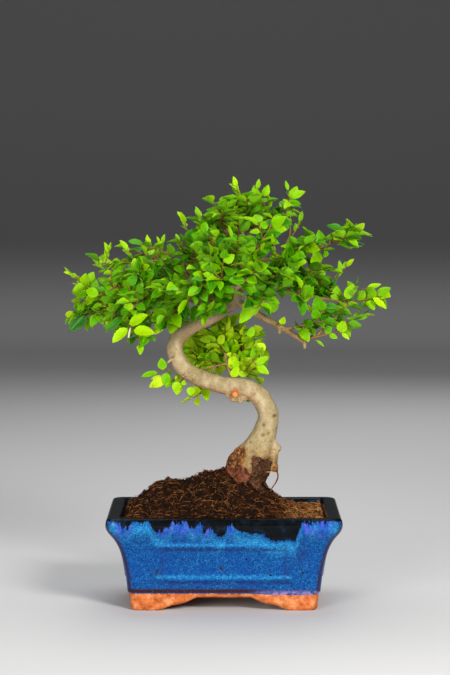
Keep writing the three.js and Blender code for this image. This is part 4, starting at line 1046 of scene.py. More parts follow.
def glaze_material():
    s = Shader("blue_glaze", roughness=0.22, Specular_IOR_Level=0.1, Coat_Weight=0.03, Coat_Roughness=0.06)
    drip, violet, edge, purple_and_painted_shade = s.attribute("glaze")
    clay, lilac, teal_and_painted_highlight, _ = s.attribute("clay")
    ragged = s.noise(2.3, 4, 0.65, stretch=(1, 1, 5.0))
    streaks = s.noise(2.4, 3, 0.6, stretch=(1, 1, 6.0), seed=3.0)
    grain = s.noise(0.95, 3, 0.7)
    grain_wide = s.noise(2.4, 3, 0.6, seed=5.0)
    grain = s.add(s.mul(grain, 0.72), s.mul(grain_wide, 0.28))
    blue = s.ramp(grain, (0.36, (3, 30, 74)), (0.45, (7, 51, 107)), (0.54, (15, 75, 136)),
                  (0.66, (42, 120, 176)))
    cloud = s.noise(16.0, 3, 0.5, seed=8.0)
    blue = s.blend(s.mul(s.between(cloud, 0.4, 0.66), 0.35), blue, (8, 48, 120))
    # The teal glaze's pale blue, also painted as highlights on the upper faces of the panel's ridges
    light = s.ramp(grain, (0.36, (6, 70, 128)), (0.5, (22, 112, 172)), (0.66, (78, 180, 204)))
    blue = s.blend(s.mul(teal_and_painted_highlight, 0.75), blue, light)
    bright = s.ramp(streaks, (0.34, (10, 28, 112)), (0.5, (28, 64, 168)), (0.64, (84, 80, 180)))
    blue = s.blend(s.mul(violet, s.between(streaks, 0.3, 0.62)), blue, bright)
    # Dark navy where the glaze runs purple, and as painted shade under and beside the panel's frame
    blue = s.blend(s.mul(purple_and_painted_shade, s.between(s.noise(5.0, 3, seed=2.0), 0.36, 0.62)),
                   blue, (30, 34, 88))
    tear = s.add(0.45, s.mul(violet, 0.7))
    torn = s.add(drip, s.swing(ragged, tear))
    black = s.between(torn, 0.5, 0.54)
    rim_tint = s.ramp(s.noise(7.0, 3), (0.35, (4, 5, 6)), (0.55, (8, 13, 18)), (0.75, (12, 34, 56)))
    colour = s.blend(black, blue, rim_tint)
    worn = s.mul(edge, s.between(s.noise(1.8, 3, stretch=(1, 1, 2)), 0.2, 0.5))
    colour = s.blend(worn, colour, (44, 24, 26))
    colour = s.blend(s.mul(lilac, s.between(s.noise(4.0, 3), 0.34, 0.6)), colour, (146, 124, 176))
    from_dot, chance = s.cells(9.0)
    dot = s.mul(s.less(s.between(from_dot, 0.05, 0.09)), s.between(chance, 0.8, 0.82))
    colour = s.blend(s.mul(dot, 0.8), colour, (40, 24, 30))
    pits = dot
    for x, z, radius, kind in glaze_flaws:
        away = s.node("ShaderNodeVectorMath", operation="DISTANCE")
        s.plug(away.inputs[0], s.place)
        wall_y = -(wall_half(z) - depth_difference)
        away.inputs[1].default_value = tuple(np.array([x, wall_y, z]) / MM + origin)
        near = s.less(s.between(away.outputs["Value"], radius * 0.6 / MM, radius * 1.1 / MM))
        colour = s.blend(near, colour, (12, 16, 28) if kind else (56, 32, 36))
        pits = s.math("MAXIMUM", pits, near)
    torn_clay = s.add(clay, s.swing(s.noise(3.0, 4), 0.35))
    bare = s.between(torn_clay, 0.49, 0.53)
    body = s.ramp(s.noise(6.0, 4, 0.65), (0.3, (132, 62, 24)), (0.5, (182, 98, 50)),
                  (0.66, (206, 134, 88)))
    smear = s.between(s.noise(9.0, 4, stretch=(2.4, 2.4, 0.7), seed=4.0), 0.56, 0.7)
    body = s.blend(s.mul(smear, 0.55), body, (128, 84, 26))
    colour = s.blend(bare, colour, body)
    relief = s.sub(s.mul(s.noise(3.2, 2), 0.5), s.mul(pits, 0.9))
    relief = s.add(relief, s.mul(s.mul(bare, s.noise(0.6, 2)), 0.4))
    relief = s.sub(relief, s.mul(black, 0.25))
    s.bump(relief, 0.35)
    return s.finish(colour, s.add(s.mul(bare, 0.6), 0.16))


def plastic_material():
    s = Shader("mesh_plastic", roughness=0.55)
    shade = s.ramp(s.noise(2.0, 2), (0.3, (24, 26, 24)), (0.7, (40, 42, 38)))
    s.bump(s.noise(0.5, 2), 0.08)
    return s.finish(shade)


# The pot: rings of one set of columns round it, from the hollow under it over the rim to its floor
depth_difference = 25
corner_radius = 8
foot_half, foot_wall, foot_top = 81.4, 9, 12.0
hollow_top, floor_top = 10.3, 16
drain_x, drain_radius, hole_sides = 45, 8, 32
wall_foot = 13.9
pot_profile = [(foot_bottom, 79.4), (0.8, 81.4), (12.3, 82.2), (wall_foot, 83.4), (30.5, 85.2), (41, 87.2),
               (51.5, 90), (60, 94), (65, 98), (69, 101), (73, 102), (77, 101.6), (80, 99.6)]
inner_wall = [(floor_top, 73.4), (56, 79.5), (80, 89.5)]
arch_profile = [(23.5, 9), (32.5, 4.7), (38.5, 2.9), (45, 2), (55.5, foot_bottom)]
arch_shrink = 0.62
panel_half, panel_low, panel_high, panel_ridge, panel_proud = 59, 23.5, 57.5, 5, 1.9
straight_long, straight_short = 65, 40  # columns stand upright out to here, on the long and short sides
# Half-length and height of the rings at the step above the foot and round the rim, and of the wall's rings
# the lowest height, the one they stop under and the distance between them: close at the panel's ridges
step_profile = [(82.1, 12.1), (82.4, 12.7), (82.9, 13.2), (83.4, 14.0), (83.6, 14.9)]
rim_profile = [(101.3, 77.4), (100.7, 78.5), (99.7, 79.4), (98.3, 79.9), (96.4, 80.0), (93.2, 80.0),
               (91.1, 79.8), (89.9, 79.1), (89.3, 78.0)]
wall_steps = [(15.7, 21, 1.0), (21, 31.5, 0.65), (31.5, 49, 1.5), (49, 60, 0.65), (60, 76.5, 1.0)]


def wall_half(z):
    """The pot's outside half-length at a height."""
    heights, halves = zip(*pot_profile)
    return float(np.interp(z, heights, halves))


def inner_half(z):
    """The pot's inside half-length at a height."""
    heights, halves = zip(*inner_wall)
    return float(np.interp(z, heights, halves))


def side_steps(straight, ridge, fine, coarse):
    """Places along half of a side: close together at the panel's ridge."""
    places = [0.0]
    while places[-1] < straight:
        places.append(places[-1] + (fine if abs(places[-1] - ridge) < 4 else coarse))
    places[-1] = straight
    return places


def pot_columns():
    """For each column round the pot: a side or corner, and the place in it."""
    columns = []
    stretch = np.linspace(0, 1, 13)[1:-1]
    for quarter in range(4):
        is_long = quarter % 2 == 0
        straight = straight_long if is_long else straight_short
        ridge = (panel_half if is_long else panel_half - depth_difference) - panel_ridge / 2
        half = side_steps(straight, ridge, 0.7, 1.7)
        side = [-place for place in half[:0:-1]] + half
        columns += [(quarter, "end", -share) for share in stretch[::-1]]
        columns += [(quarter, "straight", place) for place in side]
        columns += [(quarter, "end", share) for share in stretch]
        columns += [(quarter, "corner", share) for share in np.linspace(0, 1, 11)]
    return columns


def pot_ring(columns, half, radius):
    """Each column's place on a rounded rectangle, and the way it faces. Quarter 0 is the front."""
    places, facings = [], []
    for quarter, kind, value in columns:
        is_long = quarter % 2 == 0
        reach_along = half if is_long else half - depth_difference
        reach_out = half - depth_difference if is_long else half
        if kind == "corner":
            angle = value * math.pi / 2
            a = reach_along - radius + radius * math.sin(angle)
            b = reach_out - radius + radius * math.cos(angle)
            facing = (math.sin(angle), math.cos(angle))
        else:
            straight = straight_long if is_long else straight_short
            last = reach_along - radius
            out = straight + abs(value) * (last - straight)
            a = value if kind == "straight" else math.copysign(out, value)
            if last < straight:
                a = a * last / straight if kind == "straight" else math.copysign(last, value)
            b = reach_out
            facing = (0.0, 1.0)
        turn = quarter * math.pi / 2
        along_way = np.array([math.cos(turn), math.sin(turn)])
        out_way = np.array([math.sin(turn), -math.cos(turn)])
        places.append(a * along_way + b * out_way)
        facings.append(facing[0] * along_way + facing[1] * out_way)
    return np.array(places), np.array(facings)


def across_side(columns, places):
    """For each column: whether its side is long, how far it is from the side's middle, and half its panel."""
    is_long = np.array([quarter % 2 == 0 for quarter, _, _ in columns])
    distance = np.abs(np.where(is_long, places[:, 0], places[:, 1]))
    return is_long, distance, np.where(is_long, panel_half, panel_half - depth_difference)


def arch_height(columns, places):
    """How high the foot's lower edge stands at each column."""
    is_long, distance, _ = across_side(columns, places)
    across, rise = zip(*arch_profile)
    return np.interp(distance / np.where(is_long, 1, arch_shrink), across, rise)


def panel_rise(columns, places, z):
    """How far the raised frame of each side's panel stands out."""
    _, distance, half = across_side(columns, places)
    middle = panel_ridge / 2
    from_line = np.maximum(distance - half, max(panel_low - z, z - panel_high)) + middle
    is_side = np.array([kind != "corner" for _, kind, _ in columns])
    return panel_proud * bell(from_line, 0, 2.7) * is_side


def painted_panel_shade(columns, places, z):
    """Painted shade under and beside each panel's frame, where the glaze also gathers dark."""
    _, distance, half = across_side(columns, places)
    across = 1 - smoothstep(distance - half, -5, 1)
    low_line = bell(z, panel_low - 0.9, 1.4) * across
    high_line = bell(z, panel_high - panel_ridge - 0.4, 1.2) * across
    upright = (panel_low < z < panel_high) * bell(distance - half, -panel_ridge - 1, 1.3)
    return np.maximum(low_line, np.maximum(0.9 * high_line, 0.5 * upright))


# The glaze's lower edge of black on the front, x and height: black lies above it
front_drips = [(-102, 77), (-92, 78), (-89, 74), (-81, 72.5), (-78, 77.5), (-72, 76.5), (-65, 78), (-62, 73),
               (-58, 67.5), (-52, 68), (-50, 74), (-47, 70), (-44, 78), (-39, 75.5), (-33, 78.5), (-29, 73),
               (-24, 72), (-21, 76), (-17, 69), (-12, 73), (-9, 69), (-5, 63.5), (0, 64), (3, 75), (8, 73),
               (15, 68.5), (23, 67), (30, 67.5), (34, 65.5), (38, 61.5), (44, 59.5), (50, 60), (56, 61.5),
               (61, 59.5), (65, 74), (69, 78), (76, 76), (84, 77.5), (92, 78.5), (102, 77)]
# Where the front's glaze runs violet: middle x, spread
front_violet = [(-86, 6), (-52, 5), (-38, 8), (-18, 9), (4, 4), (70, 6), (84, 6)]


clay_top = 13.0  # the clay is bare below this height
bare_clay, black_glaze = (1.4, 0, 0, 0), (1.6, 0, 0, 0)


def glaze_values(places, facings, z, shade):
    """The two sets of four numbers that the glaze's material reads."""
    x, y = places[:, 0], places[:, 1]
    is_front = (facings[:, 1] < -0.5) & (y < 0)
    spots, levels = zip(*front_drips)
    front = np.interp(x, spots, levels)
    turn = np.arctan2(y, x)
    wander = (np.sin(turn * 9 + 1) + np.sin(turn * 17 + 2.2) + np.sin(turn * 31 + 0.4)) / 3
    around = 73.5 + 6.5 * np.clip(wander * 1.4, -1, 1)
    boundary = np.where(is_front, front, around)
    drip = 0.5 + (z - boundary) / 24
    violet = np.zeros(len(x))
    for middle, spread in front_violet:
        violet = np.maximum(violet, bell(x, middle, spread) * is_front)
    violet = np.where(is_front, violet, smoothstep(np.sin(turn * 13 + 0.7), 0.1, 0.9))
    violet = violet * smoothstep(z, 60, 70)
    teal_and_painted_highlight = bell(z, boundary - 7, 5.5) * (1 - 0.8 * violet)
    # Painted highlights: lighter bands on the upper faces of the panel's lower and upper ridges, carried with
    # the teal glaze
    painted_ridge_highlights = bell(z, panel_low + 4.2, 1.7) + bell(z, panel_high - 0.8, 1.5)
    teal_and_painted_highlight = np.maximum(teal_and_painted_highlight, 0.75 * painted_ridge_highlights * (np.minimum(np.abs(x), np.abs(y) + 25) < panel_half))
    corner = smoothstep(np.minimum(np.abs(facings[:, 0]), np.abs(facings[:, 1])), 0.4, 0.66)
    lower_edge = 1.2 * bell(z, 15.4, 1.9) * (1 - 0.75 * smoothstep(x, 10, 50) * (y < 0))
    edge = np.maximum(corner * 0.85 * (1 - smoothstep(z, 72, 77)), lower_edge)
    near_right = 0.6 * bell(x, 66, 6) * bell(z, 45, 9) * is_front
    # Purple tint near the right and at the corners, with the painted shade under and beside the panel's frame
    purple_and_painted_shade = np.maximum(near_right, np.maximum(shade, corner * 0.6))
    lilac = bell(z, 12.9, 1.9) * smoothstep(x, 20, 45) * (y < 0)
    clay = 0.5 + (clay_top - z) / 8 - lilac * 0.25
    return (np.stack([drip, violet, edge, purple_and_painted_shade], axis=1),
            np.stack([clay, lilac, teal_and_painted_highlight, np.zeros(len(x))], axis=1))


def build_pot():
    columns = pot_columns()
    count = len(columns)
    rings, glazes, clays = [], [], []

    def add_ring(half, z, radius, glazed=True, proud=False, black=False):
        places, facings = pot_ring(columns, half, radius)
        level = np.broadcast_to(z, (count,)).astype(float)
        if proud:
            places = places + facings * panel_rise(columns, places, float(level[0]))[:, None]
        wobble = lump(np.column_stack([places, level]), 38, 5) * 0.22
        places = places + facings * wobble[:, None]
        rings.append(np.column_stack([places, level]))
        # Painted shade under and beside the panel's frame
        shade = painted_panel_shade(columns, places, float(level.mean()))
        glaze, clay = glaze_values(places, facings, float(level.mean()), shade)
        if black:
            glaze, clay = np.tile(black_glaze, (count, 1)), np.zeros((count, 4))
        if not glazed:
            clay = np.tile(bare_clay, (count, 1))
        glazes.append(glaze)
        clays.append(clay)

    hollow_half = foot_half - foot_wall
    bottom_places, _ = pot_ring(columns, foot_half, corner_radius)
    arch = arch_height(columns, bottom_places)
    hollow_foot = np.minimum(arch + 0.8, hollow_top - 0.05)
    for share in (0, 0.35, 0.7, 1):
        add_ring(hollow_half, hollow_top + (hollow_foot - hollow_top) * share, 2.5, glazed=False)
    for inset, lift in ((0.3, 0.25), (1.0, 0.0), (4.0, 0.0), (6.3, 0.0), (7.1, 0.25), (7.6, 0.9)):
        level = np.minimum(arch + lift, hollow_top + 0.3)
        add_ring(hollow_half + inset, level, corner_radius - 1.5, glazed=False)
    for share in (0.12, 0.3, 0.5, 0.7, 0.85):
        level = arch + 0.9 + (foot_top - arch - 0.9) * share
        add_ring(foot_half - 0.6 + 1.2 * share, level, corner_radius)
        clays[-1][:, 0] = 1.0 - 0.25 * share
    for half, z in step_profile:
        add_ring(half, z, corner_radius)
    wall_heights = np.concatenate([np.arange(*span) for span in wall_steps])
    smooth_z = np.linspace(0, 80, 161)
    halves = [wall_half(max(z, wall_foot + 0.5)) for z in smooth_z]
    smooth_half = np.convolve(np.pad(halves, 6, mode="edge"), np.ones(13) / 13, "valid")
    for z in wall_heights:
        add_ring(np.interp(z, smooth_z, smooth_half), z, corner_radius, proud=True)
    for half, z in rim_profile:
        add_ring(half, z, corner_radius * 0.9, black=z > 79)
    for z in np.linspace(76, floor_top, 22):
        add_ring(inner_half(z), z, corner_radius * 0.8, black=True)

    points = np.concatenate(rings)
    faces = ring_faces(len(rings), count, closed_ends=False)
    angles = np.arange(hole_sides) / hole_sides * 2 * math.pi
    holes = {hollow_top: [], floor_top: []}
    for side in (-1, 1):
        for z, found in holes.items():
            first = len(points)
            found.append(range(first, first + hole_sides))
            circle = np.column_stack([side * drain_x + drain_radius * np.cos(angles),
                                      drain_radius * np.sin(angles), np.full(hole_sides, z)])
            points = np.vstack([points, circle])
    for low, high in zip(*holes.values()):
        faces += [(low[step], low[step - 1], high[step - 1], high[step]) for step in range(hole_sides)]
    rest = len(points) - len(rings) * count
    glazes.append(np.tile(black_glaze, (rest, 1)))
    clays.append(np.tile(bare_clay, (rest, 1)))
    mesh = make_mesh("pot_visual", points, faces)
    set_values(mesh, "glaze", np.concatenate(glazes))
    set_values(mesh, "clay", np.concatenate(clays))
    last = (len(rings) - 1) * count
    fill_between(mesh, range(count), holes[hollow_top])
    fill_between(mesh, range(last, last + count), holes[floor_top])
    make_piece("pot_visual", mesh, [glaze_material()], ["pot"])


def fill_between(mesh, outer, holes):
    """Closes a flat ring of points, but for the rings of points in it."""
    body = bmesh.new()
    body.from_mesh(mesh)
    body.verts.ensure_lookup_table()
    edges = []
    for ring in [list(outer)] + [list(hole) for hole in holes]:
        for a, b in zip(ring, ring[1:] + ring[:1]):
            edge = body.edges.get((body.verts[a], body.verts[b]))
            edges.append(edge or body.edges.new((body.verts[a], body.verts[b])))
    bmesh.ops.triangle_fill(body, edges=edges, use_beauty=True)
    bmesh.ops.recalc_face_normals(body, faces=body.faces)
    body.to_mesh(mesh)
    body.free()


# The soil
soil_seat = 0.3
soil_edge = 76.5
soil_base = 18
soil_heaps = [(35, -3, 0, 52, 44), (15, -60, 0, 31, 48), (5, 30, -4, 14, 30), (-5, 66, -10, 22, 40),
              (-4.5, -34, 0, 18, 40), (3, 4, -2, 9, 20), (4, -84, 44, 12, 10), (-6, 62, 42, 30, 16)]
soil_step = 0.95
straw_start, straw_full = 40, 66


def soil_height(x, y, share):
    heaps = sum(height * bell(x, mx, sx) * bell(y, my, sy) for height, mx, my, sx, sy in soil_heaps)
    waves = 0.9 * np.sin(x * 0.31 + 1) * np.sin(y * 0.37) + 0.7 * np.sin(x * 0.17 - y * 0.23)
    return soil_edge + (1 - share ** 8) * (heaps + waves)


def rough_soil(x, y, share):
    places = np.column_stack([x, y, np.zeros(len(x))])
    clods = (1.9 * lump(places, 9, 1) + 1.2 * lump(places, 4.2, 2) + 0.75 * lump(places, 2.1, 3)
             + 0.35 * lump(places, 1.1, 4))
    return soil_height(x, y, share) + clods * (1 - 0.75 * share ** 10) - 0.4


def soil_reach():
    half = inner_half(soil_edge) - soil_seat
    return half, half - depth_difference


def build_soil():
    half_x, half_y = soil_reach()
    radius = corner_radius - soil_seat
    across = int(2 * half_x / soil_step)
    deep = int(2 * half_y / soil_step)
    gx, gy = np.meshgrid(np.linspace(-half_x, half_x, across + 1), np.linspace(-half_y, half_y, deep + 1))
    ex, ey = (np.abs(gx) - half_x + radius) / radius, (np.abs(gy) - half_y + radius) / radius
    in_corner = (ex > 0) & (ey > 0)
    reach = np.maximum(ex, ey)
    angle = np.where(ex > ey, math.pi / 4 * ey / np.maximum(ex, 1e-9),
                     math.pi / 2 - math.pi / 4 * ex / np.maximum(ey, 1e-9))
    px = np.where(in_corner, np.sign(gx) * (half_x - radius + radius * reach * np.cos(angle)), gx)
    py = np.where(in_corner, np.sign(gy) * (half_y - radius + radius * reach * np.sin(angle)), gy)
    share = np.maximum(np.abs(gx) / half_x, np.abs(gy) / half_y).ravel()
    px, py = px.ravel(), py.ravel()
    top = np.column_stack([px, py, rough_soil(px, py, share)])
    width = across + 1
    faces = [(row * width + column, row * width + column + 1, (row + 1) * width + column + 1,
              (row + 1) * width + column) for row in range(deep) for column in range(across)]
    edge = [*range(across), *[row * width + across for row in range(deep)],
            *[deep * width + column for column in range(across, 0, -1)],
            *[row * width for row in range(deep, 0, -1)]]
    shrink = (inner_half(soil_base) - soil_seat) / half_x
    below = top[edge] * [shrink, shrink - 0.03, 0] + [0, 0, soil_base]
    first = len(top)
    count = len(edge)
    faces += [(edge[(step + 1) % count], edge[step], first + step, first + (step + 1) % count)
              for step in range(count)]
    faces.append(tuple(range(first, first + count))[::-1])
    points = np.vstack([top, below])
    straw_here = smoothstep(points[:, 0] + 9 * lump(points, 8, 12), straw_start, straw_full)
    tan = (smoothstep(lump(points, 14, 9) - 0.2, 0.1, 1.0) * 0.3
           + 0.36 * straw_here * smoothstep(lump(points, 3.5, 10), -0.3, 0.5))
    dark = smoothstep(-lump(points, 4.2, 2) - 0.5 * lump(points, 2.1, 3), 0.0, 0.9)
    values = np.stack([tan, dark, np.zeros(len(points)), np.ones(len(points))], axis=1)
    mesh = make_mesh("soil_visual", points, faces)
    set_values(mesh, "earth", values)
    make_piece("soil_visual", mesh, [earth], ["soil"])


crumb_count, fibre_count, chip_count = 3200, 5200, 110
crumb_least, crumb_spread = 0.4, 1.5
fibre_length, fibre_radius = (2.5, 8.5), (0.1, 0.25)
chip_size, chip_thickness = (1.6, 4.2), 0.7
scatter_x, scatter_y = 0.975, 0.97  # the share of the soil's half-sides that the litter reaches
large_crumb = 0.85  # crumbs past this size are all dark
pale_straw = [(36, -6, 112.2), (40, -7.5, 112.4), (45.6, -9, 112.4)]  # a bit of straw caught under a root


# A crumb is an icosahedron, and a chip a thin block
golden = (1 + 5 ** 0.5) / 2
crumb_shape = np.array([(-1, golden, 0), (1, golden, 0), (-1, -golden, 0), (1, -golden, 0), (0, -1, golden),
                        (0, 1, golden), (0, -1, -golden), (0, 1, -golden), (golden, 0, -1), (golden, 0, 1),
                        (-golden, 0, -1), (-golden, 0, 1)]) / 1.9
crumb_faces = [(0, 11, 5), (0, 5, 1), (0, 1, 7), (0, 7, 10), (0, 10, 11), (1, 5, 9), (5, 11, 4), (11, 10, 2),
               (10, 7, 6), (7, 1, 8), (3, 9, 4), (3, 4, 2), (3, 2, 6), (3, 6, 8), (3, 8, 9), (4, 9, 5),
               (2, 4, 11), (6, 2, 10), (8, 6, 7), (9, 8, 1)]
chip_faces = [(0, 1, 2, 3), (7, 6, 5, 4), (0, 4, 5, 1), (1, 5, 6, 2), (2, 6, 7, 3), (3, 7, 4, 0)]
chip_corners = np.array([(-1, -1), (0.9, -0.8), (1, 1), (-0.85, 0.9)]) / 2
front_chip = (-49, -54, 5.0, 1.0)  # the pale chip at the front left: x, y, size, how tan


def build_litter():
    """Crumbs, fibres and chips of bark that lie on the soil."""
    random = np.random.default_rng(5)
    half_x, half_y = soil_reach()
    litter = Parts()

    def surface(x, y):
        share = max(abs(x) / half_x, abs(y) / half_y)
        return float(rough_soil(np.array([x]), np.array([y]), np.array([share]))[0])

    def scatter():
        x = random.uniform(-scatter_x, scatter_x) * half_x
        return x, random.uniform(-scatter_y, scatter_y) * half_y

    for _ in range(crumb_count):
        x, y = scatter()
        size = crumb_least + crumb_spread * random.random() ** 3
        turn, _ = np.linalg.qr(random.normal(size=(3, 3)))
        stretch = size * random.uniform(0.6, 1.25, 3)
        shape = crumb_shape * random.uniform(0.78, 1.2, (12, 1)) * stretch @ turn
        tan = random.choice([0.0, 0.15, 0.5, 1.0], p=[0.52, 0.26, 0.14, 0.08])
        is_straw = random.random() < smoothstep(x, straw_start, straw_full)
        tan = min(1, tan * (1 if size < large_crumb else 0.35) + 0.25 * is_straw)
        shape = shape + [x, y, surface(x, y) + size * 0.25]
        litter.add(shape, crumb_faces, (tan, random.random() * 0.6, 0, 1))
    for _ in range(fibre_count):
        x, y = scatter()
        if random.random() < 0.3:
            x = random.uniform(0.5, 0.97) * half_x
        z = surface(x, y)
        heading = random.uniform(0, 2 * math.pi)
        length = random.uniform(*fibre_length)
        bend = random.uniform(-1.3, 1.3)
        t = np.linspace(0, 1, 4)
        line_x = x + length * (t * math.cos(heading) - bend * 0.4 * t * t * math.sin(heading))
        line_y = y + length * (t * math.sin(heading) + bend * 0.4 * t * t * math.cos(heading))
        line_x = np.clip(line_x, -half_x * 0.985, half_x * 0.985)
        line_y = np.clip(line_y, -half_y * 0.98, half_y * 0.98)
        share = np.maximum(np.abs(line_x) / half_x, np.abs(line_y) / half_y)
        rise = random.uniform(0.0, 0.5) ** 1.6 * length * np.sin(t * random.uniform(1.4, 3.2))
        line_z = rough_soil(line_x, line_y, share) * 0.6 + z * 0.4 + 0.35 + rise
        line = np.column_stack([line_x, line_y, line_z])
        if np.linalg.norm(np.diff(line, axis=0), axis=1).min() < 0.1:
            continue
        thick = random.uniform(*fibre_radius)
        points, tangents, radii = sampled(line, thick, thick * 0.5)
        shape, faces = tube(points, tangents, radii, fibre_sides)
        tan = random.choice([0.15, 0.5, 1.0], p=[0.44, 0.3, 0.26])
        is_straw = random.random() < smoothstep(x, straw_start, straw_full)
        litter.add(shape, faces, (min(1.25, tan + 0.48 * is_straw), 0, 0, 1))
    chips = [(*scatter(), random.uniform(*chip_size), random.random()) for _ in range(chip_count)]
    for x, y, size, tan in [front_chip] + chips:
        turn = random.uniform(0, 2 * math.pi)
        width = size * random.uniform(0.3, 0.6)
        spin = np.array([(math.cos(turn), math.sin(turn)), (-math.sin(turn), math.cos(turn))])
        flat = chip_corners * [size, width] @ spin
        tilt = random.uniform(-0.35, 0.35, 2)
        heights = surface(x, y) + 0.5 + flat @ tilt
        lower = np.column_stack([flat + [x, y], heights - chip_thickness / 2])
        upper = np.column_stack([flat * 0.9 + [x, y], heights + chip_thickness / 2])
        litter.add(np.vstack([upper, lower]), chip_faces, (tan * 0.9, 0, 0, 1))
    litter.add(*tube(*sampled(np.array(pale_straw, float), 0.5, 0.4), 5), (1.25, 0, 0, 1))
    piece_of("soil_litter", litter, [earth], "earth")


# The wood
voxel = 0.78
points_at_once = 4000

# Rings round the trunk: place, height, width and how red; marks on its front: x, z, radius, how dark
ring_scars = [((-31.6, -2, 200), 0.3, 0.7, 0.42), ((27.5, -6.5, 184.5), 0.3, 0.7, 0.34),
              ((-41, 5, 226), 0.14, 1.0, 0), ((35, -3, 144), 0.12, 1.2, 0), ((-12, 1, 247.5), 0.25, 1.2, 0.2),
              ((-4, -5, 189.5), 0.12, 1.0, 0.1)]
marks = [(44.6, 162.3, 1.7, 1.0), (42.6, 161.8, 1.0, 0.6), (34.2, 154.2, 1.7, 1.0), (33.9, 145.8, 1.9, 1.0),
         (39.2, 146.8, 1.7, 0.8), (26.8, 181.8, 1.1, 0.6), (5.0, 189.8, 2.0, 0.35), (24.6, 170.5, 1.0, 0.3),
         (-45, 213, 1.3, 0.7), (46.5, 151, 0.8, 0.6), (36.5, 141.0, 1.6, 0.6), (41.5, 139.5, 1.2, 0.6),
         (23.5, 139.0, 1.3, 0.7), (-19.5, 201.5, 1.1, 0.4)]
callus = [((16, -11, 178), 3.2), ((4, -10.5, 182), 2.8), ((10, -12, 182), 4.0), ((20, -11, 182), 2.6),
          ((7, -11.5, 176), 2.4), ((14, -12, 175), 2.2), ((2.5, -10, 179.5), 1.6), ((47.6, -5, 132), 2.9)]
scar_middle = (10.0, 181.8)
hollow_middle, hollow_reach, hollow_depth = (37, 121), (4.6, 5.0), 3.5
ring_reach = 14

# The worn foot: heights, and how far to the right its orange bark reaches there
worn_edge = [(107, 30), (117, 17.5), (121, 17.8), (129.3, 20.5), (138.7, 21.8), (142, 17)]


def worn_share(x, z):
    """How worn the foot is: 0 clean bark, 0.5 orange and torn, 0.75 red."""
    heights, edges = zip(*worn_edge)
    edge = np.interp(z, heights, edges)
    flank = smoothstep(edge - x, -2.5, 2.5) * smoothstep(-z, -137, -131)
    base = 0.5 + 0.24 * smoothstep(-z, -124, -115)
    lobe = 0.42 * smoothstep(x, 38, 43) * smoothstep(-z, -134, -119)
    streak = 0.24 * smoothstep(-z, -142, -125)
    return np.maximum(flank * base, np.maximum(lobe, streak))


def fibre_share(x, z):
    """1 where the foot is a mat of dark fibres."""
    centre = smoothstep(x, 21.5, 26) * smoothstep(-x, -43, -39.5) * smoothstep(-z, -128.5, -125)
    buried = smoothstep(-z, -113, -105) * smoothstep(x + 0.6 * z, 76, 84)
    return np.maximum(centre, buried)


def trunk_lobes(angles, z):
    flare = min(max((140 - z) / 45, 0), 1)
    return 1 + flare * (0.09 * np.sin(3 * angles + 0.6) + 0.06 * np.sin(5 * angles + z / 9))


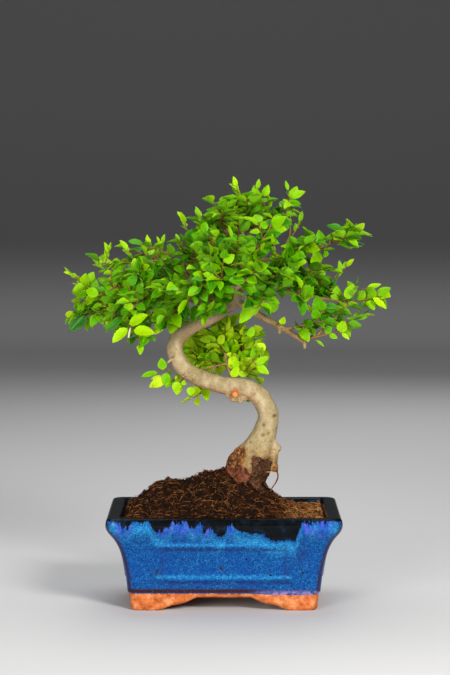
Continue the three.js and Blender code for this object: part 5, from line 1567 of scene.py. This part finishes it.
def build_wood(shoots):
    rough = Parts()
    points, tangents, radii = trunk_path(2.2)
    slimmer = bell(points[:, 2], 107, 9)
    points = points - np.outer(slimmer, (1.3, 0, 0))
    rough.add(*tube(points, tangents, radii - 1.5 * slimmer, trunk_sides, trunk_lobes))
    for limbs, step, sides in ((branches, 2.4, limb_sides), (roots, 2.4, root_sides), (stubs, 2, limb_sides)):
        for limb in limbs:
            rough.add(*tube(*limb_path(limb, step), sides))
    for place, radius in callus:
        line = np.array([np.add(place, (0, 4, 2)), place, np.add(place, (0, -1.2, -0.6))], float)
        rough.add(*tube(*sampled(line, radius * 1.2, radius * 0.5), root_sides))
    mesh = make_mesh("wood_rough", np.concatenate(rough.points), rough.faces)
    body = show("wood_rough", mesh)
    remesh = body.modifiers.new("remesh", "REMESH")
    remesh.mode = "VOXEL"
    remesh.voxel_size = voxel / MM
    relax = body.modifiers.new("relax", "SMOOTH")
    relax.factor, relax.iterations = 0.5, 3
    depsgraph = bpy.context.evaluated_depsgraph_get()
    shaped = bpy.data.meshes.new_from_object(body.evaluated_get(depsgraph))
    bpy.data.objects.remove(body)

    skin = (mesh_vectors(shaped, "co") - origin) * MM
    normals = mesh_vectors(shaped, "normal")
    trunk_points, _, trunk_radii = trunk_path(1.4)
    nearest, apart = np.empty(len(skin), int), np.empty(len(skin))
    for start in range(0, len(skin), points_at_once):
        some = slice(start, start + points_at_once)
        away = np.linalg.norm(skin[some, None] - trunk_points[None], axis=2)
        nearest[some], apart[some] = away.argmin(1), away.min(1)
    trunk_share = smoothstep(trunk_radii[nearest] * 1.9 - apart, -1, 1.5)
    girth = np.where(trunk_share > 0.5, trunk_radii[nearest], 1.6)
    stray_x = skin[:, 0] + 2.2 * lump(skin, 5, 27) + 1.2 * lump(skin, 2.2, 33)
    stray_z = skin[:, 2] + 2.6 * lump(skin, 6, 34) + 1.3 * lump(skin, 2.4, 35)
    worn = worn_share(stray_x, stray_z)
    torn = smoothstep(worn, 0.3, 0.5) * (1 - 0.55 * smoothstep(worn, 0.6, 0.74))
    is_front = smoothstep(-normals[:, 1], 0.0, 0.4)
    away_scar = np.hypot(skin[:, 0] - scar_middle[0], skin[:, 2] - scar_middle[1] + 3)
    near_scar = bell(away_scar, 0, 8) * is_front
    coarse = lump(skin, 11, 21) * 0.55 + lump(skin, 5.5, 22) * 0.3
    fine = lump(skin, 2.3, 23) * 0.12 + lump(skin, 1.2, 24) * 0.06
    knobs = (np.abs(lump(skin, 6.5, 25)) - 0.25) * 2.4 + lump(skin, 3.1, 26) * 1.0 + lump(skin, 1.7, 28) * 0.3
    shift = coarse * np.clip(girth / 9, 0.12, 1.3) + fine * np.clip(girth / 5, 0.3, 1)
    fibrous = fibre_share(stray_x, stray_z)
    shift += knobs * np.maximum(torn, near_scar * 0.4) + lump(skin * [1, 1, 0.4], 1.6, 36) * 0.8 * fibrous
    hollow = (bell(skin[:, 0], hollow_middle[0], hollow_reach[0])
              * bell(skin[:, 2], hollow_middle[1], hollow_reach[1]) * is_front * (skin[:, 1] < -3))
    shift -= hollow_depth * hollow
    dark = np.maximum(worn, near_scar * 0.22)
    fibrous = np.maximum(fibrous, hollow)
    marked, scar = np.zeros((2, len(skin)))
    waver, uneven = lump(skin, 4, 31) * 0.8, 0.75 + 0.6 * lump(skin, 4.5, 38)
    for place, height, width, redness in ring_scars:
        at = np.linalg.norm(trunk_points - place, axis=1).argmin()
        ahead = unit(trunk_points[min(at + 1, len(trunk_points) - 1)] - trunk_points[at - 1])
        offset = (skin - place) @ ahead + waver
        here = (np.linalg.norm(skin - place, axis=1) < ring_reach) * trunk_share
        band = bell(offset, 0, width) * here
        groove = bell(offset, width * 1.5, width * 0.6) * here
        shift += (band - groove * 0.8) * height
        scar = np.maximum(scar, np.maximum(groove, band * 0.8) * redness * uneven)
    for x, z, radius, strength in marks:
        near = bell(skin[:, 0], x, radius) * bell(skin[:, 2], z, radius) * is_front * trunk_share * strength
        marked = np.maximum(marked, near)
        shift -= near * 0.5
    to_right, rise = skin[:, 0] - scar_middle[0], skin[:, 2] - scar_middle[1]
    from_scar = np.hypot(to_right, rise) + np.where(is_front > 0.3, 0, 50)
    from_ring = from_scar + 1.1 * lump(skin, 3, 37) + 1.6 * smoothstep(to_right - rise, -1, 4)
    disc = smoothstep(-from_scar, -2.6, -2.0)
    ring_or_disc = np.maximum(smoothstep(-from_ring, -4.9, -3.4) * 0.62, disc)
    scar = np.maximum(scar, ring_or_disc)
    shift += (bell(from_scar, 3.0, 0.9) - disc) * 0.7
    dark = dark * (1 - ring_or_disc)
    skin = skin + normals * shift[:, None]
    below = smoothstep(-normals[:, 2], 0.1, 0.8) * smoothstep(skin[:, 2], 120, 150)
    age = np.maximum(smoothstep(girth, 1.3, 5.0), 0.35) * (1 - 0.9 * marked) * (1 - fibrous) - fibrous
    values = np.stack([age, dark, below, scar], axis=1)

    wood = Parts()
    wood.add(skin, [tuple(polygon.vertices) for polygon in shaped.polygons], values)
    wood.add(*tube(*limb_path(hanging_root, 2.0), shoot_sides), (0.5, 0.5, 0, 0))
    for shoot, _ in shoots:
        last = len(shoot[0]) - 1
        kept = sorted({*range(0, last, 2), last})
        wood.add(*tube(*(column[kept] for column in shoot), shoot_sides), (0.3, 0.15, 0.2, 0))
    bpy.data.meshes.remove(shaped)
    piece_of("wood_visual", wood, [bark_material()], "bark", ["wood"])


# The foliage


def tone_with_painted_shade(leaf, centre, is_low):
    """How yellow a leaf is: young leaves at the outside are lighter, and leaves further in are darker as
    painted shade within the crown.
    """
    outwards = np.linalg.norm(leaf.base - centre) / 110
    middle = 0.73 if is_low else 0.2 + 0.2 * outwards * outwards
    return float(np.clip(middle + 0.55 * (leaf.tone - 0.4), 0.02, 0.98))


def leaf_between(base, tip, shape, tone, facing, serial):
    """A leaf from one place to another whose face looks a given way."""
    base, tip = np.array(base, float), np.array(tip, float)
    length = np.linalg.norm(tip - base)
    axis = (tip - base) / length
    facing = np.array(facing, float)
    normal = unit(facing - axis * facing.dot(axis))
    return Leaf(base, axis, normal, length, shape * length / 1.16, 0.2 + 0.2 * draw(serial, 1, 1),
                0.1 * draw(serial, 1, 2), tone, serial)


stalk_radii, sprig_radii = (0.45, 0.3), (0.6, 0.3)
front_serial, sprig_serial, cover_serial = 90000, 91000, 92000  # so that each leaf has draws of its own


def build_front_foliage():
    """The single leaves that stand out, with their stalks, and the young sprigs over the crown."""
    foliage = Parts()

    def add_stalk(line, share, radii=stalk_radii, is_bark=1):
        add_twig(foliage, sampled(np.asarray(line, float), *radii), stalk_sides, share, is_bark)

    for serial, (base, tip, shape, tone, facing) in enumerate(front_leaves):
        leaf = leaf_between(base, tip, shape, tone, facing, front_serial + serial)
        leaf.droop = min(leaf.droop, 0.06)
        add_leaf(foliage, leaf)
        inwards = unit(np.array([8, 0, 262.0]) - leaf.base) * 4 - leaf.axis * 2 + [0, 1.5, 0.5]
        add_stalk([leaf.base + inwards * share for share in (1, 0.5, 0)], 0.5)
    for number in range(cover_count):
        random = np.array([draw(number, 7, axis) - 0.5 for axis in range(6)])
        on_branch = curve_points(covered_branch, [(number + 0.5 + 0.4 * random[0]) / cover_count])[0]
        base = on_branch + [0, -3 - 5 * abs(random[1]), 4 * random[2]]
        heading = unit(np.array([2.4 * random[3], -0.6, 2.2 * random[4] - 0.1]))
        facing = (random[5], -1, 0.5 + random[0])
        size = 10 + 7 * abs(random[2])
        tone = 0.28 + 0.3 * random[1]
        ends = base + heading * 2, base + heading * size
        leaf = leaf_between(*ends, 0.29, tone, facing, cover_serial + number)
        add_leaf(foliage, leaf)
        add_stalk([on_branch, (on_branch + leaf.base) / 2 + [0, 0, 0.4], leaf.base], 0.5)
    add_stalk(pale_stub, 0.9, (0.6, 1.0), is_bark=0)
    add_stalk(low_twig, 0.3, (0.9, 0.5))
    for serial, (foot, tip, count) in enumerate(sprigs):
        foot, tip = np.array(foot, float), np.array(tip, float)
        ahead = unit(tip - foot)
        t = np.linspace(0, 1, 7)[:, None]
        sway = np.array([draw(serial, 3, axis) - 0.5 for axis in (1, 2, 3)]) * 5
        path = sampled(foot + (tip - foot) * t + sway * t * (1 - t), *sprig_radii)
        add_twig(foliage, path, stalk_sides, 0.3)
        length = np.linalg.norm(tip - foot)
        for number in range(count):
            point, tangent, _ = along(path, length * (0.35 + 0.65 * number / (count - 1)))
            turn = 2.4 * number + serial
            aside = unit(np.cross(ahead, (math.cos(turn), 0.3, math.sin(turn))))
            last = number == count - 1
            heading = unit(tangent * (1.6 if last else 0.75) + aside * (0.5 if last else 1) + up * 0.25)
            size = 7.5 + 5 * draw(serial, number, 5)
            facing = np.array([0.3 * math.cos(turn), -1, 0.8]) + tangent * 0.3
            tone = 0.52 + 0.28 * draw(serial, number, 6)
            shape = 0.15 + 0.08 * draw(serial, number, 7)
            leaf_serial = sprig_serial + 20 * serial + number
            add_leaf(foliage, leaf_between(point, point + heading * size, shape, tone, facing, leaf_serial))
    piece_of("foliage_front", foliage, [leaf_green, twig_bark], "blade")


def build_sprays(shoots, wood, twigs):
    crown = Crown()
    sprays = place_leaves(crown, shoots, wood, twigs)
    part_centres = crown.centres.copy()
    all_wood = (np.concatenate([wood[0], twigs[0]]), np.concatenate([wood[1], twigs[1]]))
    for index, (shoot, twig) in enumerate(shoots):
        spray = Parts()
        made, more = fill_spray(crown, part_centres, index, shoot, twig, all_wood)
        is_low = is_low_pad(twig[0][-1])
        centre = low_pad_centre if is_low else canopy_centre
        for leaf in sprays[index] + more:
            # Painted shade: leaves deeper in the crown get darker tones
            leaf.tone = tone_with_painted_shade(leaf, centre, is_low)
            add_leaf(spray, leaf)
        add_twig(spray, twig, twig_sides, np.linspace(0, 1, len(twig[0])) ** 2)
        for line in made:
            add_twig(spray, line, small_twig_sides, np.linspace(0.1, 1, len(line[0])))
        piece_of(f"foliage_{index + 1:02d}", spray, [leaf_green, twig_bark], "blade",
                 [f"spray_{index + 1:02d}"])


earth = soil_material()
leaf_green = leaf_material()
twig_bark = twig_material()

shoots, wood_samples, twig_samples = grow_shoots()
build_sprays(shoots, wood_samples, twig_samples)
build_front_foliage()
build_wood(shoots)
build_pot()
build_soil()
build_litter()

plastic = plastic_material()
for node in ("drain_mesh_left", "drain_mesh_right"):
    shown = [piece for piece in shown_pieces() if piece.name == node or piece.get("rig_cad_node") == node]
    for piece in shown:
        piece.data.materials.clear()
        piece.data.materials.append(plastic)


# The studio: a pale floor, soft light and the camera


floor_colour, wall_colour = (197.261, 197.261, 198.825), (114.547, 114.547, 116.109)


def add_floor():
    """A pale floor that curves up into a wall behind the pot, in metres."""
    half_width, front, bend_start, bend_radius, top = 8.0, -5.0, 3.0, 1.2, 6.0
    angles = np.linspace(0, math.pi / 2, 17)
    profile = [(front, 0.0)] + [(bend_start + bend_radius * math.sin(a), bend_radius * (1 - math.cos(a)))
                                for a in angles] + [(bend_start + bend_radius, top)]
    points = [(side * half_width, y, z + pot_low.z) for y, z in profile for side in (-1, 1)]
    faces = [(2 * step, 2 * step + 1, 2 * step + 3, 2 * step + 2) for step in range(len(profile) - 1)]
    mesh = bpy.data.meshes.new("floor")
    mesh.from_pydata(points, [], faces)
    mesh.shade_smooth()
    s = Shader("floor", roughness=0.7, Specular_IOR_Level=0.2)
    shade = s.between(s.height(), -20, 220)
    mesh.materials.append(s.finish(s.blend(shade, floor_colour, wall_colour)))
    floor = show("floor", mesh)


light_aim = (0, 0, 200.0)


def add_light(name, place, size, power, colour=(1, 1, 1), is_glossy=True):
    data = bpy.data.lights.new(name, "AREA")
    data.shape = "DISK"
    data.size = size
    data.energy = power
    data.color = colour
    light = show(name, data)
    light.visible_glossy = is_glossy
    place = np.array(place) / MM + origin
    aim = np.array(light_aim) / MM + origin
    light.location = place
    light.rotation_mode = "QUATERNION"
    light.rotation_quaternion = Vector(aim - place).to_track_quat("-Z", "Y")


def add_camera():
    data = bpy.data.cameras.new("camera")
    data.lens = camera_lens
    data.sensor_width = camera_sensor
    data.clip_start, data.clip_end = 0.05, 50
    camera = show("camera", data)
    camera.location = np.array(camera_place) / MM + origin
    camera.rotation_euler = (math.pi / 2 - camera_pitch, 0, 0)
    bpy.context.scene.camera = camera


add_floor()
add_light("key", (750, -1500, 900), 0.5, 37, (1.0, 0.98, 0.94))
add_light("side", (-750, -1700, 400), 0.8, 27, (1.0, 0.98, 0.95))
add_light("top", (-100, 400, 1500), 1.2, 12)
add_light("back", (350, 1800, 1200), 1.0, 8, is_glossy=False)
world = bpy.data.worlds.new("world")
bpy.context.scene.world = world
world.use_nodes = True
sky = world.node_tree.nodes["Background"].inputs
sky["Color"].default_value = (0.97, 0.98, 1.0, 1.0)
sky["Strength"].default_value = 0.2
add_camera()
bpy.context.scene.view_settings.view_transform = "Standard"
